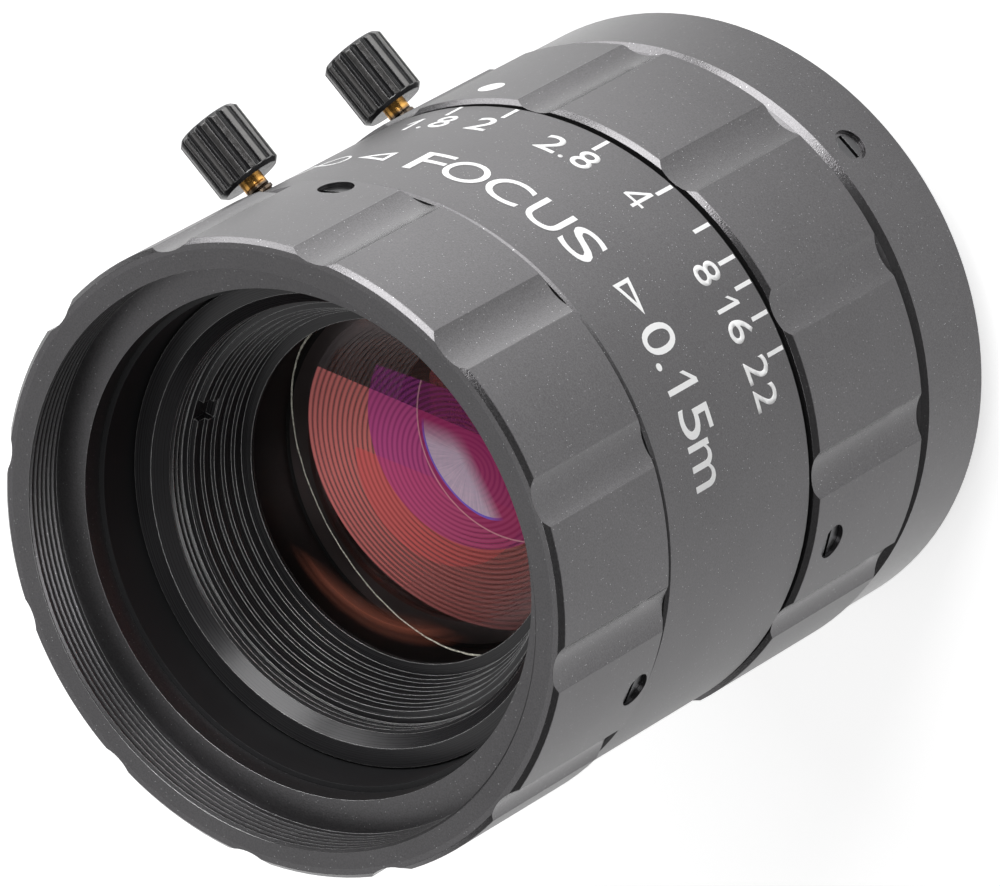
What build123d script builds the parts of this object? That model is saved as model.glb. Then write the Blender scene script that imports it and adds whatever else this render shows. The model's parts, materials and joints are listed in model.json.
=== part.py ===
from build123d import *

import os
from math import asin, atan2, cos, degrees, hypot, radians, sin, sqrt

# A fixed focal length C-mount machine vision lens, in millimetres.
# The origin is the centre of the mount's flange face and +Z runs along the optical axis to the front.
# The lens stands on the end of its mount thread. Angles are degrees about +Z, from +X.

# Lengths along the axis, from the flange face forward
MOUNT_BAND_LEN = 8.1
RING_GAP = 0.1
IRIS_RING_LEN = 13.35
IRIS_FRONT_GAP = 0.55
SCALE_BAND_LEN = 17.4
FOCUS_GAP = 0.2
FOCUS_RING_LEN = 13.1

# The two threads that other things screw into or onto, which the radii are worked out from:
# M30.5 filter thread at its minor radius and 1 inch-32 UN mount thread at its major radius
FILTER_R = 15.0
MOUNT_THREAD_R = 12.7

# Mount: length of the thread, its wall and the floor under the barrel
MOUNT_THREAD_LEN = 4.0
MOUNT_THREAD_CHAMFER = 0.3
MOUNT_THREAD_WALL = 2.1
MOUNT_FLOOR = 1.6

# Clearances: radial running fit, radial seat inside one body, axial play and cement line
RUN = 0.05
SEAT = 0.02
PLAY = 0.1
CEMENT = 0.03

# How far a cutter runs past the face it opens
CUT = 1.0

# Barrel: its tube, and the focus sleeve and its retaining ring in the scale band
TUBE_WALL = 1.57
TAIL_GAP = 0.05
SLEEVE_NECK_WALL = 1.52
SLEEVE_STEP = 0.65
SHOULDER = 3.4
RETAINER_STEP = 1.0
RETAINER_LEN = 1.2
BAND_WALL = 1.4
RING_RISE = 0.3
IRIS_RING_WALL = 2.3
DRIVE_RING_WALL = 1.4

# Flutes cut along the two rings
FLUTES = 12
FLUTE_WIDTH = 3.6
FLUTE_DEPTH = 0.55
FOCUS_FLUTE_AZ = -13.3
IRIS_FLUTE_AZ = -5.3
RING_CHAMFER = 0.33
RING_CHAMFER_LEN = 0.35
EDGE_CHAMFER = 0.12
BAND_CHAMFER = 0.2
MOUNT_CHAMFER = 1.2

# Focus ring's front recess, and its shelf in front of the sleeve
RECESS_WALL = 2.11
RECESS_DEPTH = 3.1
SHELF_GAP = 0.46
SHELF_T = 1.6

# Focus: travel of the cell for one full swing of the ring
FOCUS_TRAVEL = 4.5

# Lens cell, measured back from its front face
CELL_RECESS = 8.05
CELL_LEN = 37.75
CELL_FACE_W = 1.43
LEAD_IN = 1.1
LEAD_IN_W = 0.95
FILTER_LEN = 1.2
RETAINING_SINK = 0.15
RETAINING_LEDGE = 0.45
SKIRT_WALL = 1.58
WEB_T = 0.5
WEB_LEDGE = 0.7

# Front retaining ring: a stepped bore that ends in a lip over the front element
STEPS = 5
STEP_PITCH = 0.78
STEP_WIDTH = 0.29
STEP_WALL = 0.42
LIP_OVERLAP = 0.54
LIP_T = 0.35
LIP_RELIEF = 0.05
NOTCH_W = 1.5
NOTCH_DEPTH = 1.4
NOTCH_LEN = 2.0
NOTCH_AZ = 37.2

# Glass: wall or ledge around it, edge thickness, and the bulge of its front and back faces
FRONT_WALL = 1.85
FRONT_EDGE = 4.5
FRONT_BULGE = 1.7
FRONT_FLAT_W = 1.8
FRONT_HOLLOW = 4.2
SECOND_LEDGE = 1.65
SECOND_EDGE = 2.0
SECOND_BULGE = 1.9
THIRD_EDGE = 3.07
CEMENT_BULGE = 1.2
THIRD_HOLLOW = 0.8
FOURTH_EDGE = 2.8
FOURTH_HOLLOW = 0.9
FOURTH_BULGE = 1.2
FIFTH_EDGE = 1.6
FIFTH_BULGE = 1.2
REAR_CEMENT_BULGE = 0.9
SIXTH_EDGE = 2.77
SIXTH_BULGE = 0.5

# Baffle spacer between the front and second elements: a cone of fine steps
BAFFLE_STEPS = 16
BAFFLE_LEN = 5.65
BAFFLE_LEDGE = 1.25

# Rear cell, carried by the lens cell's skirt, and what it holds
REAR_LIP_GAP = 0.25
REAR_LIP_W = 1.4
REAR_LIP_T = 1.0
REAR_FLANGE_T = 2.8
REAR_SNOUT_GAP = 0.8
REAR_SNOUT_WALL = 1.25
REAR_SNOUT_LEN = 6.0
REAR_STOP_W = 1.55
REAR_STOP_T = 1.3
SPACER_WALL = 1.25
SPACER_FRONT_LEN = 2.6
SPACER_BACK_LEN = 3.2
REAR_RING_WALL = 1.55
REAR_RING_LEN = 1.6
REAR_NOTCH_W = 1.2
REAR_NOTCH_DEPTH = 0.5

# Iris: blades swing on pins in the base plate, studs run in the rotor's cam slots
BLADES = 6
BLADE_T = 0.1
BLADE_STEP = 0.15
BLADE_W = 4.4
BLADE_SPAN = 135.0
PIVOT_INSET = 3.95
PIVOT_NECK = 0.7
PIVOT_PIN_R = 0.4
STUD_ARM = 4.4
STUD_AZ = 85.0
STUD_R = 0.3
SLOT_CLEAR = 0.06
BLADE_ROOT = 8.0
BLADE_TOP_GAP = 0.05
BLADE_EAR_R = 0.95
BLADE_LINK_W = 1.2
STUD_EAR_R = 0.75
STOP_DOWN_R = 0.49
IRIS_TURN = 79.85
BASE_PLATE_T = 1.0
BASE_PLATE_RELIEF = 0.1
BLADE_SPACE = 1.0
ROTOR_T = 1.0
ROTOR_RELIEF = 0.35
ROTOR_ARM_W = 3.2
ROTOR_ARM_T = 1.05
DRIVE_PIN_R = 0.75
DRIVE_AZ = 200.0
DRIVE_PIN_INSET = 7.4
WINDOW_MARGIN = 1.0
GUIDE_PIN_R = 0.8
GUIDE_AZ = -60.0
GUIDE_PIN_GAP = 0.25
GUIDE_PIN_INSET = 6.0

# Set screws: three in the focus ring and in the mount band, two in the iris ring
RING_SCREW_R = 1.22
RING_SCREW_HOLE_R = 1.25
RING_SCREW_SINK = 0.35
FOCUS_SCREW_AZ = (-28.3, -148.3, 91.7)
FOCUS_SCREW_INSET = 1.8
IRIS_SCREW_AZ = (-140.3, 99.7)
IRIS_SCREW_INSET = 2.95
MOUNT_SCREW_R = 0.95
MOUNT_SCREW_SINK = 0.25
MOUNT_SCREW_AZ = (-75.4, 164.6, 44.6)
MOUNT_SCREW_INSET = 3.7
SLOT_W = 0.35
SLOT_DEPTH = 0.45
DOT_R = 0.95
DOT_AZ = -20.85
DOT_LEN = 1.6

# Thumbscrews: an M2 brass screw with a knurled knob, on the scale band and on the iris ring
LOCK_AZ = 11.5
FOCUS_LOCK_INSET = 8.2
IRIS_LOCK_INSET = 4.8
LOCK_R = 0.96
LOCK_HOLE_R = 1.0
NECK_R = 0.86
NECK_LEN = 0.75
KNOB_R = 2.42
KNOB_LEN = 5.0
FOCUS_KNOB_STANDOFF = 1.75
IRIS_KNOB_STANDOFF = 1.4
KNOB_BORE_DEPTH = 2.6
KNOB_CHAMFER = 0.3
KNOB_GROOVES = 16
KNOB_GROOVE_R = 0.26

# Radii of the lens cell and what it holds, from the filter thread
CELL_FACE_R = FILTER_R + LEAD_IN_W
CELL_R = CELL_FACE_R + CELL_FACE_W
RETAINING_BORE_R = FILTER_R - RETAINING_LEDGE
STEP_R = RETAINING_BORE_R - STEP_WALL
FRONT_R = RETAINING_BORE_R - FRONT_WALL
LIP_R = FRONT_R - LIP_OVERLAP
FRONT_HOLLOW_R = FRONT_R - FRONT_FLAT_W

# Radii outwards from the cell to the scale band and the rings, and back in to the barrel's tube
SLEEVE_NECK_R = CELL_R + RUN + SLEEVE_NECK_WALL
SLEEVE_R = SLEEVE_NECK_R + SLEEVE_STEP
RETAINER_R = SLEEVE_R + RETAINER_STEP
BAND_R = RETAINER_R + BAND_WALL
RING_R = BAND_R + RING_RISE
RECESS_R = RING_R - RECESS_WALL
SHELF_R = CELL_R + SHELF_GAP
DRIVE_RING_R = RING_R - IRIS_RING_WALL
TUBE_R = DRIVE_RING_R - DRIVE_RING_WALL - RUN
BARREL_BORE_R = TUBE_R - TUBE_WALL
SKIRT_R = BARREL_BORE_R - RUN - SKIRT_WALL

# Radii of the iris in the cell's skirt, and of the glass next to it
ROTOR_ARM_R = SKIRT_R - RUN - ROTOR_ARM_T
PIVOT_R = SKIRT_R - PIVOT_INSET
ROTOR_IN_R = PIVOT_R + ROTOR_RELIEF
BLADE_OUT_R = PIVOT_R - PIVOT_NECK
BLADE_IN_R = BLADE_OUT_R - BLADE_W
BASE_PLATE_R = BLADE_IN_R + BASE_PLATE_RELIEF
WEB_R = BLADE_IN_R + WEB_LEDGE
SECOND_R = WEB_R + SECOND_LEDGE
BAFFLE_REAR_R = SECOND_R - BAFFLE_LEDGE

# Radii of the rear cell: its body follows the skirt, and its snout and glass follow the mount thread
REAR_LIP_R = ROTOR_ARM_R - REAR_LIP_GAP
REAR_BODY_R = REAR_LIP_R - REAR_LIP_W
MOUNT_BORE_R = MOUNT_THREAD_R - MOUNT_THREAD_WALL
REAR_SNOUT_R = MOUNT_BORE_R - REAR_SNOUT_GAP
REAR_R = REAR_SNOUT_R - REAR_SNOUT_WALL
REAR_STOP_R = REAR_R - REAR_STOP_W
SPACER_IN_R = REAR_R - SPACER_WALL
REAR_RING_IN_R = REAR_R - REAR_RING_WALL


def bulge_rise(edge_r, bulge, r):
    """Height of a glass face over its rim, at a distance from the axis."""
    curve_r = (edge_r**2 + bulge**2) / (2 * bulge)
    return sqrt(curve_r**2 - r**2) - (curve_r - bulge)


# Places along the axis, worked out from the lengths
MOUNT_TOP_Z = MOUNT_BAND_LEN
IRIS_Z0 = MOUNT_TOP_Z + RING_GAP
IRIS_Z1 = IRIS_Z0 + IRIS_RING_LEN
BAND_Z0 = IRIS_Z1 + IRIS_FRONT_GAP
BAND_Z1 = BAND_Z0 + SCALE_BAND_LEN
FOCUS_Z0 = BAND_Z1 + FOCUS_GAP
FRONT_Z = FOCUS_Z0 + FOCUS_RING_LEN
SHELF_Z = FRONT_Z - RECESS_DEPTH
CELL_Z1 = FRONT_Z - CELL_RECESS
CELL_Z0 = CELL_Z1 - CELL_LEN
FILTER_Z1 = CELL_Z1 - LEAD_IN
FILTER_Z0 = FILTER_Z1 - FILTER_LEN
RETAINING_Z1 = FILTER_Z0 - RETAINING_SINK
RETAINING_Z0 = RETAINING_Z1 - STEPS * STEP_PITCH - LIP_T
FRONT_RIM_Z = RETAINING_Z0 + LIP_RELIEF - bulge_rise(FRONT_R, FRONT_BULGE, LIP_R) - SEAT
FRONT_BACK_Z = FRONT_RIM_Z - FRONT_EDGE
BAFFLE_Z1 = FRONT_BACK_Z - SEAT
BAFFLE_Z0 = BAFFLE_Z1 - BAFFLE_LEN
SECOND_RIM_Z = BAFFLE_Z0 - bulge_rise(SECOND_R, SECOND_BULGE, BAFFLE_REAR_R) - SEAT
SECOND_BACK_Z = SECOND_RIM_Z - SECOND_EDGE
THIRD_RIM_Z = SECOND_BACK_Z - CEMENT
THIRD_BACK_Z = THIRD_RIM_Z - THIRD_EDGE
WEB_Z0 = THIRD_BACK_Z - WEB_T
BASE_Z0 = WEB_Z0 - BASE_PLATE_T
ROTOR_Z1 = BASE_Z0 - BLADE_SPACE
ROTOR_Z0 = ROTOR_Z1 - ROTOR_T
REAR_Z1 = ROTOR_Z0 - PLAY
FLANGE_Z1 = CELL_Z0 + REAR_FLANGE_T
REAR_Z0 = CELL_Z0 - REAR_SNOUT_LEN
SHOULDER_Z = BAND_Z0 + SHOULDER
SLEEVE_Z1 = SHELF_Z - SHELF_T - SEAT
RETAINER_Z0 = BAND_Z1 - RETAINER_LEN

# Heights of the screws and pins, each from the ring, band or cell that it sits in
MOUNT_SCREW_Z = MOUNT_TOP_Z - MOUNT_SCREW_INSET
IRIS_LOCK_Z = IRIS_Z0 + IRIS_LOCK_INSET
IRIS_SCREW_Z = IRIS_Z1 - IRIS_SCREW_INSET
DRIVE_Z = IRIS_Z0 + DRIVE_PIN_INSET
GUIDE_Z = CELL_Z0 + GUIDE_PIN_INSET
FOCUS_LOCK_Z = BAND_Z0 + FOCUS_LOCK_INSET
FOCUS_SCREW_Z = FOCUS_Z0 + FOCUS_SCREW_INSET

# Iris motion: how far each blade swings to close the opening from its inner edge to the stop-down radius
BLADE_TURN = 2 * degrees(asin((BLADE_IN_R - STOP_DOWN_R) / (2 * PIVOT_R)))


def turned(*points):
    """Solid of revolution from an outline of (radius, height) points."""
    outline = Polyline(*[(r, 0, z) for r, z in points], close=True)
    return revolve(make_face(outline), Axis.Z)


def ring(r_in, r_out, z0, z1):
    return turned((r_in, z0), (r_out, z0), (r_out, z1), (r_in, z1))


def polar(r, az, z=0.0):
    return (r * cos(radians(az)), r * sin(radians(az)), z)


def rod(radius, az, z, r0, r1):
    """Cylinder that points away from the axis, between two distances from it."""
    base = Plane(origin=polar(r0, az, z), x_dir=(0, 0, 1), z_dir=polar(1, az))
    return extrude(base * Circle(radius), r1 - r0)


def sector(r_in, r_out, az0, az1):
    """Flat piece of a ring between two azimuths."""
    mid = (az0 + az1) / 2
    edges = [
        Line(polar(r_in, az0), polar(r_out, az0)),
        ThreePointArc(polar(r_out, az0), polar(r_out, mid), polar(r_out, az1)),
        Line(polar(r_out, az1), polar(r_in, az1)),
        ThreePointArc(polar(r_in, az1), polar(r_in, mid), polar(r_in, az0)),
    ]
    return make_face(edges)


def wall_window(r_in, r_out, az0, az1, z0, z1):
    """Block that cuts a window through a tube wall."""
    return extrude(Pos(0, 0, z0) * sector(r_in, r_out, az0, az1), z1 - z0)


def flute_cutters(ring_r, az, z0, z1):
    """Hollow grooves along a ring, one for each flute."""
    cutter_r = (FLUTE_WIDTH**2 / 4 + FLUTE_DEPTH**2) / (2 * FLUTE_DEPTH)
    centre = ring_r - FLUTE_DEPTH + cutter_r
    spots = [polar(centre, az + i * 360 / FLUTES, z0 - CUT) for i in range(FLUTES)]
    return [Pos(*spot) * extrude(Circle(cutter_r), z1 - z0 + 2 * CUT) for spot in spots]


def bulge_arc(radius, z_rim, bulge):
    """Points of a lens face from the axis to its rim: apex, halfway and rim."""
    if bulge == 0:
        return [(0, 0, z_rim), (radius / 2, 0, z_rim), (radius, 0, z_rim)]
    curve_r = (radius**2 + bulge**2) / (2 * abs(bulge))
    sign = 1 if bulge > 0 else -1
    drop = curve_r - sqrt(curve_r**2 - radius**2 / 4)
    return [(0, 0, z_rim + bulge), (radius / 2, 0, z_rim + bulge - sign * drop), (radius, 0, z_rim)]


def element(edge_r, z_front, front_bulge, z_back, back_bulge, back_r=None):
    """Glass element: the bulge of a face is its height over its rim, towards the front."""
    back_r = back_r or edge_r
    front = bulge_arc(edge_r, z_front, front_bulge)
    back = bulge_arc(back_r, z_back, back_bulge)
    edges = [
        Line(back[0], front[0]),
        ThreePointArc(*front),
        Line(front[2], (edge_r, 0, z_back)),
        ThreePointArc(*back),
    ]
    if back_r < edge_r:
        edges.append(Line((edge_r, 0, z_back), back[2]))
    return revolve(make_face(edges), Axis.Z)


def slotted_screw(radius, az, z, r0, r1):
    """Headless set screw with a driver slot in its outer end."""
    screw = rod(radius, az, z, r0, r1)
    slot = Plane(origin=polar(r1, az, z), x_dir=(0, 0, 1), z_dir=polar(1, az))
    return screw - extrude(slot * Rectangle(SLOT_W, 3 * radius), -SLOT_DEPTH)


def make_mount_housing():
    body = turned(
        (MOUNT_BORE_R, -MOUNT_THREAD_LEN),
        (MOUNT_THREAD_R - MOUNT_THREAD_CHAMFER, -MOUNT_THREAD_LEN),
        (MOUNT_THREAD_R, -MOUNT_THREAD_LEN + MOUNT_THREAD_CHAMFER),
        (MOUNT_THREAD_R, 0),
        (BAND_R - EDGE_CHAMFER, 0),
        (BAND_R, EDGE_CHAMFER),
        (BAND_R, MOUNT_TOP_Z - MOUNT_CHAMFER),
        (BAND_R - MOUNT_CHAMFER, MOUNT_TOP_Z),
        (TUBE_R + SEAT, MOUNT_TOP_Z),
        (TUBE_R + SEAT, MOUNT_FLOOR),
        (MOUNT_BORE_R, MOUNT_FLOOR),
    )
    for az in MOUNT_SCREW_AZ:
        body -= rod(MOUNT_SCREW_R + SEAT, az, MOUNT_SCREW_Z, TUBE_R - CUT, BAND_R + CUT)
        body -= rod(RING_SCREW_HOLE_R, az, MOUNT_SCREW_Z, BAND_R - MOUNT_SCREW_SINK, BAND_R + CUT)
    return body


def make_main_barrel():
    bearing_r = SLEEVE_R + RUN
    body = turned(
        (BARREL_BORE_R, MOUNT_FLOOR + TAIL_GAP),
        (TUBE_R, MOUNT_FLOOR + TAIL_GAP),
        (TUBE_R, BAND_Z0),
        (BAND_R - EDGE_CHAMFER, BAND_Z0),
        (BAND_R, BAND_Z0 + EDGE_CHAMFER),
        (BAND_R, BAND_Z1 - BAND_CHAMFER),
        (BAND_R - BAND_CHAMFER, BAND_Z1),
        (RETAINER_R + SEAT, BAND_Z1),
        (RETAINER_R + SEAT, RETAINER_Z0),
        (bearing_r, RETAINER_Z0),
        (bearing_r, SHOULDER_Z),
        (BARREL_BORE_R, SHOULDER_Z),
    )
    body -= rod(LOCK_HOLE_R, LOCK_AZ, FOCUS_LOCK_Z, bearing_r - CUT, BAND_R + CUT)
    body -= rod(GUIDE_PIN_R + SEAT, GUIDE_AZ, GUIDE_Z, BARREL_BORE_R - CUT, TUBE_R + CUT)
    reach = DRIVE_PIN_R + PLAY
    sweep = degrees(reach / BARREL_BORE_R) + WINDOW_MARGIN
    window = wall_window(
        BARREL_BORE_R - CUT,
        TUBE_R + CUT,
        DRIVE_AZ - IRIS_TURN - sweep,
        DRIVE_AZ + sweep,
        DRIVE_Z - reach,
        DRIVE_Z + reach,
    )
    return body - window


def make_focus_ring():
    body = turned(
        (SLEEVE_NECK_R + SEAT, FOCUS_Z0),
        (RING_R - RING_CHAMFER, FOCUS_Z0),
        (RING_R, FOCUS_Z0 + RING_CHAMFER_LEN),
        (RING_R, FRONT_Z - RING_CHAMFER_LEN),
        (RING_R - RING_CHAMFER, FRONT_Z),
        (RECESS_R, FRONT_Z),
        (RECESS_R, SHELF_Z),
        (SHELF_R, SHELF_Z),
        (SHELF_R, SHELF_Z - SHELF_T),
        (SLEEVE_NECK_R + SEAT, SHELF_Z - SHELF_T),
    )
    body -= flute_cutters(RING_R, FOCUS_FLUTE_AZ, FOCUS_Z0, FRONT_Z)
    for az in FOCUS_SCREW_AZ:
        body -= rod(RING_SCREW_HOLE_R, az, FOCUS_SCREW_Z, SLEEVE_NECK_R - CUT, RING_R + CUT)
    return body


def make_focus_sleeve():
    step_z = RETAINER_Z0 - PLAY
    return turned(
        (CELL_R + RUN, SHOULDER_Z + SEAT),
        (SLEEVE_R, SHOULDER_Z + SEAT),
        (SLEEVE_R, step_z),
        (SLEEVE_NECK_R, step_z),
        (SLEEVE_NECK_R, SLEEVE_Z1),
        (CELL_R + RUN, SLEEVE_Z1),
    )


def make_lens_cell():
    collar_z = SHOULDER_Z + RUN
    tail_r = BARREL_BORE_R - RUN
    lens_bore = FRONT_R + SEAT
    second_bore = SECOND_R + SEAT
    spacer_seat_z = BAFFLE_Z0 - SEAT
    body = turned(
        (FILTER_R, FILTER_Z1),
        (CELL_FACE_R, CELL_Z1),
        (CELL_R - EDGE_CHAMFER, CELL_Z1),
        (CELL_R, CELL_Z1 - EDGE_CHAMFER),
        (CELL_R, collar_z),
        (tail_r, collar_z),
        (tail_r, CELL_Z0),
        (SKIRT_R, CELL_Z0),
        (SKIRT_R, WEB_Z0),
        (WEB_R, WEB_Z0),
        (WEB_R, THIRD_BACK_Z),
        (second_bore, THIRD_BACK_Z),
        (second_bore, spacer_seat_z),
        (lens_bore, spacer_seat_z),
        (lens_bore, RETAINING_Z0),
        (RETAINING_BORE_R, RETAINING_Z0),
        (RETAINING_BORE_R, FILTER_Z0),
        (FILTER_R, FILTER_Z0),
    )
    reach = DRIVE_PIN_R + 2 * PLAY
    sweep = degrees(reach / SKIRT_R) + 2 * WINDOW_MARGIN
    body -= wall_window(
        SKIRT_R - CUT,
        tail_r + CUT,
        DRIVE_AZ - IRIS_TURN - sweep,
        DRIVE_AZ + sweep,
        DRIVE_Z - FOCUS_TRAVEL - reach,
        DRIVE_Z + reach,
    )
    slot_z1 = GUIDE_Z + GUIDE_PIN_R + PLAY
    slot_w = 2 * (GUIDE_PIN_R + RUN)
    slot = Rot(0, 0, GUIDE_AZ) * Pos((SKIRT_R + tail_r) / 2, 0, (CELL_Z0 - CUT + slot_z1) / 2)
    body -= slot * Box(SKIRT_WALL + 2 * CUT, slot_w, slot_z1 - CELL_Z0 + CUT)
    return body


def make_front_retaining_ring():
    """Stepped ring in front of the front element: each step is narrower than the one before it."""
    profile = [(STEP_R, RETAINING_Z1)]
    for step in range(1, STEPS):
        z = RETAINING_Z1 - step * STEP_PITCH
        profile.append((STEP_R - (step - 1) * STEP_WIDTH, z))
        profile.append((STEP_R - step * STEP_WIDTH, z))
    last_r = STEP_R - (STEPS - 1) * STEP_WIDTH
    lip_z = RETAINING_Z0 + LIP_T
    outer_r = RETAINING_BORE_R - SEAT
    profile += [
        (last_r, lip_z),
        (LIP_R, lip_z),
        (LIP_R, RETAINING_Z0 + LIP_RELIEF),
        (outer_r, RETAINING_Z0 + LIP_RELIEF),
        (outer_r, RETAINING_Z1),
    ]
    body = turned(*profile)
    for az in (NOTCH_AZ, NOTCH_AZ + 180):
        notch = Pos(STEP_R, 0, RETAINING_Z1) * Box(NOTCH_LEN, NOTCH_W, 2 * NOTCH_DEPTH)
        body -= Rot(0, 0, az) * notch
    return body


def make_baffle_spacer():
    """Cone of fine steps that opens towards the front element."""
    rise = BAFFLE_LEN / BAFFLE_STEPS
    tread = (FRONT_HOLLOW_R - BAFFLE_REAR_R) / BAFFLE_STEPS
    profile = [(BAFFLE_REAR_R, BAFFLE_Z0)]
    for step in range(BAFFLE_STEPS):
        z = BAFFLE_Z0 + (step + 1) * rise
        profile.append((BAFFLE_REAR_R + step * tread, z))
        if step < BAFFLE_STEPS - 1:
            profile.append((BAFFLE_REAR_R + (step + 1) * tread, z))
    return turned(*profile, (FRONT_R, BAFFLE_Z1), (FRONT_R, BAFFLE_Z0))


def make_rear_cell():
    bore_r = REAR_R + SEAT
    return turned(
        (REAR_STOP_R, REAR_Z1),
        (REAR_LIP_R, REAR_Z1),
        (REAR_LIP_R, REAR_Z1 - REAR_LIP_T),
        (REAR_BODY_R, REAR_Z1 - REAR_LIP_T),
        (REAR_BODY_R, FLANGE_Z1),
        (SKIRT_R - SEAT, FLANGE_Z1),
        (SKIRT_R - SEAT, CELL_Z0),
        (REAR_SNOUT_R, CELL_Z0),
        (REAR_SNOUT_R, REAR_Z0),
        (bore_r, REAR_Z0),
        (bore_r, REAR_Z1 - REAR_STOP_T),
        (REAR_STOP_R, REAR_Z1 - REAR_STOP_T),
    )


def rear_stack():
    """Front and back heights of what the rear cell holds; spacers touch the glass at their bores."""
    fourth = REAR_Z1 - REAR_STOP_T - SEAT
    fourth_back = fourth - FOURTH_EDGE
    spacer = fourth_back - bulge_rise(REAR_R, FOURTH_BULGE, SPACER_IN_R) - SEAT
    spacer_back = spacer - SPACER_FRONT_LEN
    fifth = spacer_back - bulge_rise(REAR_R, FIFTH_BULGE, SPACER_IN_R) - SEAT
    sixth = fifth - FIFTH_EDGE - CEMENT
    sixth_back = sixth - SIXTH_EDGE
    last = sixth_back - bulge_rise(REAR_R, SIXTH_BULGE, SPACER_IN_R) - SEAT
    return {
        "fourth": (fourth, fourth_back),
        "spacer": (spacer, spacer_back),
        "fifth": (fifth, sixth + CEMENT),
        "sixth": (sixth, sixth_back),
        "last": (last, last - SPACER_BACK_LEN),
        "ring": (last - SPACER_BACK_LEN, last - SPACER_BACK_LEN - REAR_RING_LEN),
    }


def make_rear_retaining_ring(z1, z0):
    body = ring(REAR_RING_IN_R, REAR_R, z0, z1)
    notch = Box(2 * REAR_R + CUT, REAR_NOTCH_W, 2 * REAR_NOTCH_DEPTH)
    return body - Pos(0, 0, z0) * notch


def make_iris_base_plate():
    body = ring(BASE_PLATE_R, SKIRT_R - SEAT, BASE_Z0, WEB_Z0)
    for blade in range(BLADES):
        pin = Pos(*polar(PIVOT_R, blade * 360 / BLADES, BASE_Z0 - CUT))
        body -= pin * extrude(Circle(PIVOT_PIN_R + RUN), BASE_PLATE_T + 2 * CUT)
    return body


def stud_place(turn=0.0):
    """Distance from the axis and azimuth of a blade's stud, with the blade turned inwards."""
    angle = radians(STUD_AZ - turn)
    x, y = PIVOT_R + STUD_ARM * cos(angle), STUD_ARM * sin(angle)
    return hypot(x, y), degrees(atan2(y, x))


def make_blade(index):
    """Thin crescent with a pivot pin towards the base plate and a stud towards the rotor."""
    top = BASE_Z0 - BLADE_TOP_GAP - index * BLADE_STEP
    stud_r, stud_az = stud_place()
    pivot = Pos(*polar(PIVOT_R, 0))
    stud = Pos(*polar(stud_r, stud_az))
    crescent = sector(BLADE_IN_R, BLADE_OUT_R, BLADE_ROOT, -BLADE_SPAN)
    neck_len = 2 * (PIVOT_R - BLADE_OUT_R)
    neck = Pos(*polar(PIVOT_R - neck_len / 2, 0)) * Rectangle(neck_len, 2 * BLADE_EAR_R)
    link_mid = [(a + b) / 2 for a, b in zip(polar(PIVOT_R, 0), polar(stud_r, stud_az))]
    link = Pos(*link_mid) * Rot(0, 0, STUD_AZ) * Rectangle(STUD_ARM, BLADE_LINK_W)
    outline = crescent + neck + link + pivot * Circle(BLADE_EAR_R) + stud * Circle(STUD_EAR_R)
    body = extrude(Pos(0, 0, top - BLADE_T) * outline, BLADE_T)
    body += Pos(0, 0, top - BLADE_T / 2) * pivot * extrude(Circle(PIVOT_PIN_R), WEB_Z0 - PLAY - top)
    stud_end = ROTOR_Z0 + PLAY
    body += Pos(0, 0, stud_end) * stud * extrude(Circle(STUD_R), top - BLADE_T / 2 - stud_end)
    return Rot(0, 0, index * 360 / BLADES) * body


def cam_slot():
    """Path of a stud in the turning rotor, through its places at open, halfway and closed."""
    places = []
    for share in (0, 0.5, 1):
        r, az = stud_place(share * BLADE_TURN)
        places.append(polar(r, az + share * IRIS_TURN))
    return SlotArc(ThreePointArc(*places), 2 * (STUD_R + SLOT_CLEAR))


def make_iris_rotor():
    body = ring(ROTOR_IN_R, SKIRT_R - RUN, ROTOR_Z0, ROTOR_Z1)
    cutter = extrude(Pos(0, 0, ROTOR_Z0 - CUT) * cam_slot(), ROTOR_T + 2 * CUT)
    for blade in range(BLADES):
        body -= Rot(0, 0, blade * 360 / BLADES) * cutter
    half = degrees(ROTOR_ARM_W / 2 / SKIRT_R)
    arm_z0 = DRIVE_Z - FOCUS_TRAVEL - DRIVE_PIN_R - PLAY
    body += wall_window(
        ROTOR_ARM_R, SKIRT_R - RUN, DRIVE_AZ - half, DRIVE_AZ + half, arm_z0, ROTOR_Z0
    )
    fork_z1 = DRIVE_Z + DRIVE_PIN_R + PLAY
    fork = Box(ROTOR_ARM_T + 2 * CUT, 2 * (DRIVE_PIN_R + RUN), fork_z1 - arm_z0 + CUT)
    fork_r = ROTOR_ARM_R + ROTOR_ARM_T / 2
    return body - Rot(0, 0, DRIVE_AZ) * Pos(fork_r, 0, (fork_z1 + arm_z0 - CUT) / 2) * fork


def make_iris_drive_ring():
    body = ring(TUBE_R + RUN, DRIVE_RING_R, IRIS_Z0 + PLAY, IRIS_Z1)
    body -= rod(DRIVE_PIN_R + SEAT, DRIVE_AZ, DRIVE_Z, TUBE_R - CUT, DRIVE_RING_R + CUT)
    return body - rod(LOCK_HOLE_R, LOCK_AZ, IRIS_LOCK_Z, TUBE_R - CUT, DRIVE_RING_R + CUT)


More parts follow.
